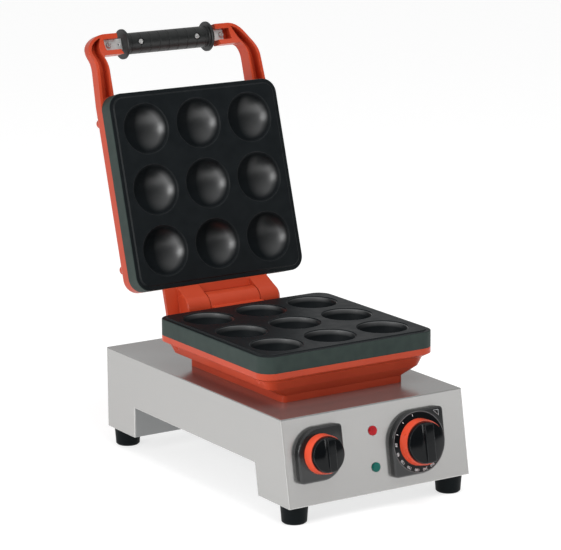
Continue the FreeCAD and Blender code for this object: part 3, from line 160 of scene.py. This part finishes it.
# The plate's edge colour: worn metal with a painted highlight.
WORN_METAL_AND_HIGHLIGHT = (0.10, 0.105, 0.105)

# Sockets of the Mix node, which share their names.
MIX_FACTOR = 0
MIX_VALUES = (2, 3)
MIX_COLOURS = (6, 7)
MIX_COLOUR_OUT = 2


# Places that the frame gives.

def joint(name):
    return next(j for j in frame["joints"] if j["name"] == name)


chassis_low, chassis_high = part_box("chassis_shell")
plate_low, plate_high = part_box("lower_plate")
bezel_low, bezel_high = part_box("bezel_right")
dial_low, dial_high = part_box("dial_disc")
HINGE_AT = Vector(joint("lid_hinge")["pos_m"])
OPEN = math.radians(joint("lid_hinge")["range_deg"][1])
DIAL_AT = Vector(joint("thermostat_turn")["pos_m"])
PANEL_OUT = -Vector(joint("thermostat_turn")["axis"])
PANEL_UP = PANEL_OUT.cross(Vector((1, 0, 0)))
PLATE_HALF_X = (plate_high.x - plate_low.x) / 2
PLATE_HALF_Y = (plate_high.y - plate_low.y) / 2
PLATE_MID_Y = (plate_low.y + plate_high.y) / 2
BEZEL_HALF = (bezel_high.x - bezel_low.x) / 2
DIAL_R = (dial_high.x - dial_low.x) / 2


def cavity_pitch():
    """Distance between neighbouring cavities along x and y, from their openings in the record."""
    boxes = {o["name"]: o["box_m"] for o in frame["record"]["physics"]["openings"]}
    here = boxes["lower_cavity_middle_centre"][0]
    side = boxes["lower_cavity_middle_right"][0]
    back = boxes["lower_cavity_rear_centre"][0]
    return side[0] - here[0], back[1] - here[1]


PITCH_X, PITCH_Y = cavity_pitch()


# Shader helpers.

def new_material(name):
    """An empty material with its shader: (material, node tree, shader)."""
    material = bpy.data.materials.new(name)
    material.use_nodes = True
    tree = material.node_tree
    tree.nodes.clear()
    shader = tree.nodes.new("ShaderNodeBsdfPrincipled")
    output = tree.nodes.new("ShaderNodeOutputMaterial")
    tree.links.new(shader.outputs["BSDF"], output.inputs["Surface"])
    return material, tree, shader


def set_shader(shader, **values):
    """Sets what is the same all over the surface."""
    names = {
        "metallic": "Metallic",
        "roughness": "Roughness",
        "specular": "Specular IOR Level",
        "coat": "Coat Weight",
        "coat_roughness": "Coat Roughness",
        "coat_ior": "Coat IOR",
    }
    for key, value in values.items():
        shader.inputs[names[key]].default_value = value


def give(tree, value, socket):
    """Links the socket to another, or sets it to a plain value."""
    if isinstance(value, bpy.types.NodeSocket):
        tree.links.new(value, socket)
    else:
        socket.default_value = value


def maths(tree, operation, a, b=None):
    node = tree.nodes.new("ShaderNodeMath")
    node.operation = operation
    give(tree, a, node.inputs[0])
    if b is not None:
        give(tree, b, node.inputs[1])
    return node.outputs[0]


def vector_maths(tree, operation, a, b=None):
    """The outputs of a node of vector maths."""
    node = tree.nodes.new("ShaderNodeVectorMath")
    node.operation = operation
    give(tree, a, node.inputs[0])
    if b is not None:
        give(tree, b, node.inputs[1])
    return node.outputs


def coordinates(tree, kind):
    return tree.nodes.new("ShaderNodeTexCoord").outputs[kind]


def mapped(tree, vector, location=(0, 0, 0), rotation=(0, 0, 0), scale=(1, 1, 1)):
    """The vector scaled, then turned, then moved."""
    node = tree.nodes.new("ShaderNodeMapping")
    node.inputs["Location"].default_value = location
    node.inputs["Rotation"].default_value = rotation
    node.inputs["Scale"].default_value = scale
    tree.links.new(vector, node.inputs["Vector"])
    return node.outputs["Vector"]


def object_point(tree, **change):
    """The point on the piece, in the piece's own axes."""
    return mapped(tree, coordinates(tree, "Object"), **change)


def split(tree, vector):
    node = tree.nodes.new("ShaderNodeSeparateXYZ")
    tree.links.new(vector, node.inputs[0])
    return node.outputs


def noise(tree, vector, scale, detail=4.0):
    node = tree.nodes.new("ShaderNodeTexNoise")
    node.inputs["Scale"].default_value = scale
    node.inputs["Detail"].default_value = detail
    tree.links.new(vector, node.inputs["Vector"])
    return node.outputs["Fac"]


def spread(tree, value, low, high, from_low=0.3, from_high=0.7):
    """Maps from_low..from_high, by default a noise's usual range, to low..high."""
    node = tree.nodes.new("ShaderNodeMapRange")
    node.inputs["From Min"].default_value = from_low
    node.inputs["From Max"].default_value = from_high
    node.inputs["To Min"].default_value = low
    node.inputs["To Max"].default_value = high
    tree.links.new(value, node.inputs["Value"])
    return node.outputs["Result"]


def blend_colours(tree, factor, a, b):
    """Colour a where the factor is 0, b where it is 1."""
    node = tree.nodes.new("ShaderNodeMix")
    node.data_type = "RGBA"
    give(tree, factor, node.inputs[MIX_FACTOR])
    for index, colour in zip(MIX_COLOURS, (a, b)):
        linked = isinstance(colour, bpy.types.NodeSocket)
        give(tree, colour if linked else (*colour, 1), node.inputs[index])
    return node.outputs[MIX_COLOUR_OUT]


def blend_values(tree, factor, a, b):
    """Value a where the factor is 0, b where it is 1."""
    node = tree.nodes.new("ShaderNodeMix")
    give(tree, factor, node.inputs[MIX_FACTOR])
    for index, value in zip(MIX_VALUES, (a, b)):
        give(tree, value, node.inputs[index])
    return node.outputs[0]


def mottled(tree, pattern, a, b):
    """Colours a and b in the patches of a noise."""
    return blend_colours(tree, spread(tree, pattern, 0, 1), a, b)


def uneven(tree, pattern, roughness):
    """A roughness that strays a little with a noise."""
    return spread(tree, pattern, roughness - GLOSS_BELOW, roughness + GLOSS_ABOVE)


def shade(colour, factor):
    return tuple(factor * c for c in colour)


def bump(tree, shader, height, strength, distance, normal=None):
    node = tree.nodes.new("ShaderNodeBump")
    node.inputs["Strength"].default_value = strength
    node.inputs["Distance"].default_value = distance
    tree.links.new(height, node.inputs["Height"])
    if normal:
        tree.links.new(normal, node.inputs["Normal"])
    tree.links.new(node.outputs["Normal"], shader.inputs["Normal"])


def soft_edges(tree, radius):
    """(rounded normal, mask that is 1 along the edges) for a solid with sharp edges."""
    bevel = tree.nodes.new("ShaderNodeBevel")
    bevel.samples = 6
    bevel.inputs["Radius"].default_value = radius
    rounded = bevel.outputs["Normal"]
    plain = tree.nodes.new("ShaderNodeNewGeometry").outputs["Normal"]
    likeness = vector_maths(tree, "DOT_PRODUCT", rounded, plain)["Value"]
    return rounded, spread(tree, likeness, 1.0, 0.0, *EDGE_LIKENESS)


# Materials.

def enamel():
    """Orange-red enamel over a casting: faint orange peel, and paler on the edges, where the enamel is thinner and
    a painted highlight is laid on.
    """
    material, tree, shader = new_material("enamel_red")
    point = object_point(tree)
    broad = noise(tree, point, scale=18)
    fine = noise(tree, point, scale=420, detail=3)
    rounded, edge = soft_edges(tree, ENAMEL_EDGE)
    body = mottled(tree, broad, ENAMEL_DEEP, ENAMEL_FULL)
    # Paler edges: partly thinner enamel, partly a painted highlight.
    thin_and_highlight = maths(tree, "MULTIPLY", edge, ENAMEL_THINNING_AND_HIGHLIGHT)
    tree.links.new(blend_colours(tree, thin_and_highlight, body, ENAMEL_THIN_AND_HIGHLIGHT), shader.inputs["Base Color"])
    tree.links.new(spread(tree, broad, *ENAMEL_ROUGH), shader.inputs["Roughness"])
    set_shader(shader, coat=0.05, coat_roughness=0.12, specular=0.20)
    bump(tree, shader, fine, strength=0.10, distance=0.3 * MM, normal=rounded)
    return material


def steel(name, tone, roughness, metallic=0.8, grain_depth=0.02):
    """Brushed sheet metal: fine lines along the sheet, a painted highlight on the folds, a slow change of gloss.
    """
    material, tree, shader = new_material(name)
    standing = object_point(tree, scale=(STROKE_LONG, STROKE_LONG, STROKE_FINE))
    lying = object_point(tree, scale=(STROKE_LONG, STROKE_FINE, STROKE_LONG))
    wall_grain, top_grain = (noise(tree, p, scale=1.0, detail=6) for p in (standing, lying))
    _, _, up = split(tree, coordinates(tree, "Normal"))
    level = maths(tree, "GREATER_THAN", maths(tree, "ABSOLUTE", up), LEVEL_FROM)
    grain = blend_values(tree, level, wall_grain, top_grain)
    slow = noise(tree, object_point(tree), scale=9)
    rounded, edge = soft_edges(tree, STEEL_EDGE)
    sheet = mottled(tree, grain, shade(tone, STROKE_DARK), tone)
    # Painted highlight: the folds and edges get a lighter copy of the tone.
    painted_fold_highlight = tuple(min(c, PAINTED_FOLD_HIGHLIGHT_LIMIT) for c in shade(tone, PAINTED_FOLD_HIGHLIGHT))
    tree.links.new(blend_colours(tree, edge, sheet, painted_fold_highlight), shader.inputs["Base Color"])
    cloud = spread(tree, slow, -CLOUD, CLOUD)
    gloss = maths(tree, "ADD", cloud, uneven(tree, grain, roughness))
    tree.links.new(gloss, shader.inputs["Roughness"])
    set_shader(shader, metallic=metallic)
    bump(tree, shader, grain, strength=grain_depth, distance=0.1 * MM, normal=rounded)
    return material


def closed_point(tree):
    """The point where a point of the open lid lies once the lid is closed."""
    shift = object_point(tree, location=tuple(-HINGE_AT))
    return mapped(tree, shift, location=HINGE_AT, rotation=(OPEN, 0, 0))


def length_of(tree, x, y):
    square = maths(tree, "ADD", maths(tree, "MULTIPLY", x, x), maths(tree, "MULTIPLY", y, y))
    return maths(tree, "SQRT", square)


def skirt_mask(tree, x, y):
    """1 on the outside of the plate's rounded outline, 0 within it."""
    across = maths(tree, "ABSOLUTE", x)
    along = maths(tree, "ABSOLUTE", y)
    side = maths(tree, "GREATER_THAN", across, PLATE_HALF_X - SKIRT_SKIN)
    end = maths(tree, "GREATER_THAN", along, PLATE_HALF_Y - SKIRT_SKIN)
    past_x = maths(tree, "SUBTRACT", across, PLATE_HALF_X - PLATE_CORNER)
    past_y = maths(tree, "SUBTRACT", along, PLATE_HALF_Y - PLATE_CORNER)
    out = length_of(tree, maths(tree, "MAXIMUM", past_x, 0.0), maths(tree, "MAXIMUM", past_y, 0.0))
    corner = maths(tree, "GREATER_THAN", out, PLATE_CORNER - SKIRT_SKIN)
    return maths(tree, "MAXIMUM", maths(tree, "MAXIMUM", side, end), corner)


def from_cavity(tree, x, y):
    """Distance from the axis of the nearest cavity, which is the middle one or a neighbour."""
    offsets = []
    for value, pitch in ((x, PITCH_X), (y, PITCH_Y)):
        size = maths(tree, "ABSOLUTE", value)
        next_one = maths(tree, "ABSOLUTE", maths(tree, "SUBTRACT", size, pitch))
        offsets.append(maths(tree, "MINIMUM", size, next_one))
    return length_of(tree, *offsets)


def right_walls(tree, x, start, end):
    """0 on the left of each cavity, 1 on its right, rising from start to end in radii."""
    number = maths(tree, "ROUND", maths(tree, "DIVIDE", x, PITCH_X))
    offset = maths(tree, "SUBTRACT", x, maths(tree, "MULTIPLY", number, PITCH_X))
    return spread(tree, offset, 0.0, 1.0, start * BOWL_R, end * BOWL_R)


def leaned_normal(tree, axis):
    """The normal leaned toward the plate's axis, as if the coating filled the cavities' walls."""
    lean = vector_maths(tree, "ADD", coordinates(tree, "Normal"), GLOSS_LEAN * axis)["Vector"]
    turn = tree.nodes.new("ShaderNodeVectorTransform")
    turn.vector_type = "NORMAL"
    turn.convert_from = "OBJECT"
    turn.convert_to = "WORLD"
    tree.links.new(lean, turn.inputs["Vector"])
    return vector_maths(tree, "NORMALIZE", turn.outputs["Vector"])["Vector"]


def plate_finish(name, lid):
    """Non-stick plate: dark face, worn edges with a painted highlight, green-grey skirt, and gloss on parts of the
    cavities.

    In the lid the gloss is on their right-hand walls, in the lower plate under their rims.
    """
    material, tree, shader = new_material(name)
    closed = closed_point(tree) if lid else object_point(tree)
    x, raw_y, z = split(tree, closed)
    y = maths(tree, "SUBTRACT", raw_y, PLATE_MID_Y)
    skirt = skirt_mask(tree, x, y)
    out = from_cavity(tree, x, y)
    bowl = maths(tree, "LESS_THAN", out, BOWL_R)
    mottle = noise(tree, closed, scale=60)
    rounded, edge = soft_edges(tree, COATING_EDGE)

    face = mottled(tree, mottle, *FACE_TONES)
    # Paler edges: partly worn coating, partly a painted highlight.
    wear_and_highlight = maths(tree, "MULTIPLY", edge, COATING_WEAR_AND_HIGHLIGHT)
    worn_and_highlight = blend_colours(tree, wear_and_highlight, face, WORN_METAL_AND_HIGHLIGHT)
    flank = mottled(tree, mottle, *FLANK_TONES)
    tree.links.new(blend_colours(tree, skirt, worn_and_highlight, flank), shader.inputs["Base Color"])
    outside = blend_values(tree, skirt, spread(tree, mottle, *FACE_ROUGH), SKIRT_ROUGH)
    tree.links.new(blend_values(tree, bowl, outside, BOWL_ROUGH), shader.inputs["Roughness"])

    if lid:
        gloss = LID_GLOSS
        axis = Vector((0, -math.sin(OPEN), -math.cos(OPEN)))
        zone = spread(tree, out, 1.0, 0.0, *(share * BOWL_R for share in RIM_FADE))
    else:
        gloss = LOWER_GLOSS
        axis = Vector((0, 0, 1))
        rim = plate_high.z
        under = spread(tree, z, 0.0, 1.0, rim - RIM_BAND, rim - RIM_BAND / 4)
        zone = maths(tree, "MULTIPLY", bowl, under)
    polish = maths(tree, "MULTIPLY", zone, right_walls(tree, x, *gloss["rise"]))
    tree.links.new(polish, shader.inputs["Coat Weight"])
    tree.links.new(leaned_normal(tree, axis), shader.inputs["Coat Normal"])
    set_shader(shader, specular=0.17, coat_roughness=0.36, coat_ior=gloss["ior"])
    fine = noise(tree, closed, scale=900, detail=2)
    bump(tree, shader, fine, strength=0.08, distance=0.2 * MM, normal=rounded)
    return material


def swollen(tree, normal, amount):
    """The normal turned outward from the middle of the piece, as on a slightly domed moulding."""
    half = (-amount / 2,) * 3
    offset = mapped(tree, coordinates(tree, "Generated"), location=half, scale=(amount,) * 3)
    both = vector_maths(tree, "ADD", normal, offset)["Vector"]
    return vector_maths(tree, "NORMALIZE", both)["Vector"]


def plastic(name, colour, roughness, specular=0.5, coat=0.0, grain=700, strength=0.06,
            rim=None, soft=PLASTIC_EDGE, pillow=0.0):
    """Moulded plastic or rubber: an even colour with a fine grain and an uneven gloss.

    rim is a lighter colour painted on its edges as a painted highlight, and soft their radius; pillow swells the
    normals across it.
    """
    material, tree, shader = new_material(name)
    point = object_point(tree)
    slow = noise(tree, point, scale=35)
    tone = mottled(tree, slow, colour, shade(colour, 1.15))
    rounded, edge = soft_edges(tree, soft)
    # Painted highlight: the edges take the lighter rim colour.
    if rim:
        tone = blend_colours(tree, edge, tone, rim)
    if pillow:
        rounded = swollen(tree, rounded, pillow)
    tree.links.new(tone, shader.inputs["Base Color"])
    tree.links.new(uneven(tree, slow, roughness), shader.inputs["Roughness"])
    set_shader(shader, coat=coat, coat_roughness=0.06, specular=specular)
    fine = noise(tree, point, scale=grain, detail=2)
    bump(tree, shader, fine, strength=strength, distance=0.2 * MM, normal=rounded)
    return material


def felt(name, colour):
    """Fibrous insulation board."""
    material, tree, shader = new_material(name)
    fibres = noise(tree, object_point(tree, scale=(1, 4, 1)), scale=400, detail=8)
    tone = mottled(tree, fibres, shade(colour, 0.75), colour)
    tree.links.new(tone, shader.inputs["Base Color"])
    set_shader(shader, roughness=0.95)
    bump(tree, shader, fibres, strength=0.5, distance=0.6 * MM)
    return material


def lens(name, colour):
    """Glossy coloured cap of a lamp, deeper in patches."""
    material, tree, shader = new_material(name)
    slow = noise(tree, object_point(tree), scale=90)
    tone = mottled(tree, slow, shade(colour, 0.6), colour)
    tree.links.new(tone, shader.inputs["Base Color"])
    set_shader(shader, roughness=0.18, coat=0.15, coat_roughness=0.03, specular=0.15)
    return material


def make_materials():
    """Every finish but the plates', by slot; the knobs, the bead and the marks have their own."""
    finishes = {
        "red_enamel": enamel(),
        "insulation": felt("insulation", (0.62, 0.59, 0.50)),
        "lens_red": lens("lens_red", (0.55, 0.006, 0.014)),
        "lens_green": lens("lens_green", (0.003, 0.15, 0.12)),
    }
    finishes["collar_red"] = finishes["red_enamel"]
    for name, tone, roughness, more in (
        ("stainless", (0.44, 0.437, 0.428), 0.20, {}),
        # The inner steel's darker tone is painted shade inside the chassis; its rougher gloss is its own.
        ("stainless_inner", (0.30, 0.305, 0.305), 0.38, {}),
        ("element_steel", (0.20, 0.18, 0.16), 0.5, {"grain_depth": 0.01}),
        ("strap_steel", (0.80, 0.83, 0.82), 0.35, {"metallic": 0.4}),
        ("steel_fasteners", (0.58, 0.575, 0.56), 0.32, {"grain_depth": 0.01}),
    ):
        finishes[name] = steel(name, tone, roughness, **more)
    for name, tone, roughness, more in (
        ("foot_rubber", (0.004, 0.006, 0.007), 0.50,
         {"specular": 0.08, "grain": 900, "strength": 0.15}),
        # The rim colours of the black plastics are painted highlights on their edges.
        ("black_gloss", (0.0040, 0.0050, 0.0055), 0.20,
         {"coat": 0.4, "rim": (0.05, 0.051, 0.053), "soft": BEZEL_EDGE, "pillow": 0.45}),
        # The bead's light grey is a painted highlight along the dial's well.
        ("bead_painted_highlight", (0.11, 0.112, 0.115), 0.18, {"coat": 1.0}),
        ("knob_black", (0.0020, 0.0028, 0.0036), 0.15,
         {"specular": 0.22, "rim": (0.03, 0.032, 0.034), "soft": KNOB_EDGE, "pillow": 0.5}),
        ("orange_ring", (0.80, 0.085, 0.035), 0.30, {"coat": 0.3}),
        ("inner_plastic", (0.05, 0.05, 0.05), 0.55, {}),
        ("gland_plastic", (0.02, 0.02, 0.02), 0.5, {}),
        ("grip_black", (0.009, 0.010, 0.010), 0.40, {"grain": 500, "strength": 0.12}),
        ("mark_white", (0.86, 0.88, 0.90), 0.5, {}),
    ):
        finishes[name] = plastic(name, tone, roughness, **more)
    return finishes


def dress_nodes(materials):
    """Gives every CAD node the material of its slot in the record."""
    slots = {part["node"]: part["material_slot"] for part in frame["record"]["subparts"]}
    for name, node in nodes.items():
        if slots[name] == "plate_coating":
            finish = plate_finish(name + "_finish", name == "lid_plate")
        elif name in ("knob_left", "knob_right", "dial_disc"):
            finish = materials["knob_black"]
        else:
            finish = materials[slots[name]]
        node.data.materials.clear()
        node.data.materials.append(finish)


# Small pieces that the solids leave to this script.

def keep(piece, material, body):
    """Puts a new piece into the scene with its finish and body."""
    bpy.context.scene.collection.objects.link(piece)
    piece.data.materials.append(material)
    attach(piece, body)


def panel_frame(centre, node):
    """Axes on the node's front face, level with the centre: x across, y up the slope, z outward."""
    front = max(PANEL_OUT.dot(node.matrix_world @ v.co) for v in node.data.vertices)
    origin = centre + PANEL_OUT * (front - PANEL_OUT.dot(centre))
    columns = (Vector((1, 0, 0)), PANEL_UP, PANEL_OUT)
    turn = Matrix([[c[i] for c in columns] for i in range(3)]).to_4x4()
    return Matrix.Translation(origin) @ turn


def turned(degrees):
    return Matrix.Rotation(math.radians(degrees), 4, "Z")


def flat_mark(name, outline, place, material, body):
    """Thin raised mark with a bevelled rim, from its outline in the panel's axes."""
    bm = bmesh.new()
    face = bm.faces.new([bm.verts.new((x, y, 0)) for x, y in outline])
    grown = bmesh.ops.extrude_face_region(bm, geom=[face])
    top = [v for v in grown["geom"] if isinstance(v, bmesh.types.BMVert)]
    bmesh.ops.translate(bm, verts=top, vec=(0, 0, 2 * MARK_T))
    rim = [e for e in bm.edges if all(v in top for v in e.verts)]
    bmesh.ops.bevel(bm, geom=rim, offset=MARK_T, segments=2, affect="EDGES", profile=0.5)
    bmesh.ops.recalc_face_normals(bm, faces=bm.faces)
    mesh = bpy.data.meshes.new(name)
    bm.to_mesh(mesh)
    bm.free()
    piece = bpy.data.objects.new(name, mesh)
    piece.matrix_world = place
    keep(piece, material, body)


def dial_marks(material):
    """Numbers and ticks round the thermostat's dial."""
    face = panel_frame((dial_low + dial_high) / 2, nodes["dial_disc"])
    radius = DIAL_R - MARK_IN
    outward = Matrix.Translation((0, radius, MARK_T))
    for i, text in enumerate(DIAL_NUMBERS):
        curve = bpy.data.curves.new("dial_number_" + text, "FONT")
        curve.body = text
        curve.size = NUMBER_H
        curve.extrude = MARK_T
        curve.align_x = "CENTER"
        curve.align_y = "CENTER"
        piece = bpy.data.objects.new("dial_number_" + text, curve)
        piece.matrix_world = face @ turned(NUMBER_FIRST + NUMBER_STEP * i) @ outward
        keep(piece, material, "thermostat_knob")
    wide, tall = TICK_HALF
    near, far = radius - tall, radius + tall
    outline = [(-wide, near), (wide, near), (wide, far), (-wide, far)]
    for i in range(TICK_COUNT):
        place = face @ turned(TICK_FIRST + TICK_STEP * i)
        flat_mark("dial_tick_%d" % (i + 1), outline, place, material, "thermostat_knob")


def closed_line(name, corners, radius, kind, place):
    """A round bar of the given radius along a closed line in the panel's axes."""
    curve = bpy.data.curves.new(name, "CURVE")
    curve.dimensions = "3D"
    curve.bevel_depth = radius
    curve.bevel_resolution = 3
    line = curve.splines.new(kind)
    line.points.add(len(corners) - 1)
    for point, (x, y) in zip(line.points, corners):
        point.co = (x, y, 0, 1)
    line.use_cyclic_u = True
    line.order_u = 3
    piece = bpy.data.objects.new(name, curve)
    piece.matrix_world = place
    return piece


def bezel_trim(materials):
    """The index triangle beside the dial, and the bead round its well, whose light grey is a painted highlight."""
    face = panel_frame(DIAL_AT, nodes["bezel_right"])
    right = BEZEL_HALF - INDEX_SIDE
    top = BEZEL_HALF - INDEX_TOP
    corners = [(right, top), (right - INDEX_SIZE, top), (right, top - INDEX_SIZE)]
    index = closed_line("dial_index", corners, INDEX_LINE / 2, "POLY", face)
    keep(index, materials["mark_white"], "base")
    turns = [2 * math.pi * i / BEAD_POINTS for i in range(BEAD_POINTS)]
    reach = DIAL_R + BEAD_R
    ring = [(reach * math.cos(a), reach * math.sin(a)) for a in turns]
    bead = closed_line("dial_bead_painted_highlight", ring, BEAD_R, "NURBS", face)
    keep(bead, materials["bead_painted_highlight"], "base")


# Stage, light and camera.

def add_stage():
    """Flat round floor of pale paper."""
    bm = bmesh.new()
    bmesh.ops.create_circle(bm, cap_ends=True, segments=FLOOR_SIDES, radius=FLOOR_R)
    mesh = bpy.data.meshes.new("stage_floor")
    bm.to_mesh(mesh)
    bm.free()
    floor = bpy.data.objects.new("stage_floor", mesh)
    bpy.context.scene.collection.objects.link(floor)
    material, tree, shader = new_material("stage_paper")
    grain = noise(tree, object_point(tree), scale=40)
    tree.links.new(mottled(tree, grain, *FLOOR_GREYS), shader.inputs["Base Color"])
    set_shader(shader, roughness=0.9, specular=0.0)
    shader.inputs["Emission Color"].default_value = (1, 1, 1, 1)
    shader.inputs["Emission Strength"].default_value = FLOOR_GLOW
    mesh.materials.append(material)


def add_light(name, place, target, size, power, in_gloss):
    light = bpy.data.lights.new(name, "AREA")
    light.shape = "RECTANGLE"
    light.size, light.size_y = size
    light.energy = power
    lamp = bpy.data.objects.new(name, light)
    bpy.context.scene.collection.objects.link(lamp)
    lamp.location = place
    way = Vector(target) - Vector(place)
    lamp.rotation_euler = way.to_track_quat("-Z", "Y").to_euler()
    lamp.visible_glossy = in_gloss


def add_dome():
    """World light: dim at the horizon, brighter overhead and behind the object."""
    world = bpy.data.worlds.new("studio")
    world.use_nodes = True
    tree = world.node_tree
    background = tree.nodes["Background"]
    _, back, up = split(tree, coordinates(tree, "Generated"))
    level = DOME_LOW
    for part, gain in ((up, DOME_HIGH), (back, DOME_BACK)):
        toward = maths(tree, "MAXIMUM", part, 0.0)
        square = maths(tree, "MULTIPLY", toward, toward)
        level = maths(tree, "ADD", maths(tree, "MULTIPLY", square, gain), level)
    background.inputs["Color"].default_value = (1, 1, 1, 1)
    tree.links.new(level, background.inputs["Strength"])
    bpy.context.scene.world = world


def add_camera():
    """The camera that took the photo, as fitted to it."""
    data = bpy.data.cameras.new("photo_camera")
    camera = bpy.data.objects.new("photo_camera", data)
    bpy.context.scene.collection.objects.link(camera)
    yaw, pitch, roll = (math.radians(a) for a in (CAMERA_YAW, CAMERA_PITCH, CAMERA_ROLL))
    level = math.cos(pitch)
    back = Vector((math.sin(yaw) * level, -math.cos(yaw) * level, math.sin(pitch)))
    right = Vector((math.cos(yaw), math.sin(yaw), 0))
    up = back.cross(right)
    x_axis = math.cos(roll) * right + math.sin(roll) * up
    y_axis = math.cos(roll) * up - math.sin(roll) * right
    turn = Matrix([[v[i] for v in (x_axis, y_axis, back)] for i in range(3)]).to_4x4()
    front = Vector((0, chassis_low.y, 0))
    camera.matrix_world = Matrix.Translation(front + CAMERA_FROM_FRONT) @ turn
    data.lens = FOCAL_IN_WIDTHS * data.sensor_width
    data.clip_start = CAMERA_NEAR
    data.clip_end = CAMERA_FAR
    bpy.context.scene.camera = camera


def main():
    materials = make_materials()
    dress_nodes(materials)
    dial_marks(materials["mark_white"])
    bezel_trim(materials)
    add_stage()
    add_dome()
    for row in LIGHTS:
        add_light(*row)
    add_camera()
    bpy.context.scene.view_settings.view_transform = "Standard"


main()
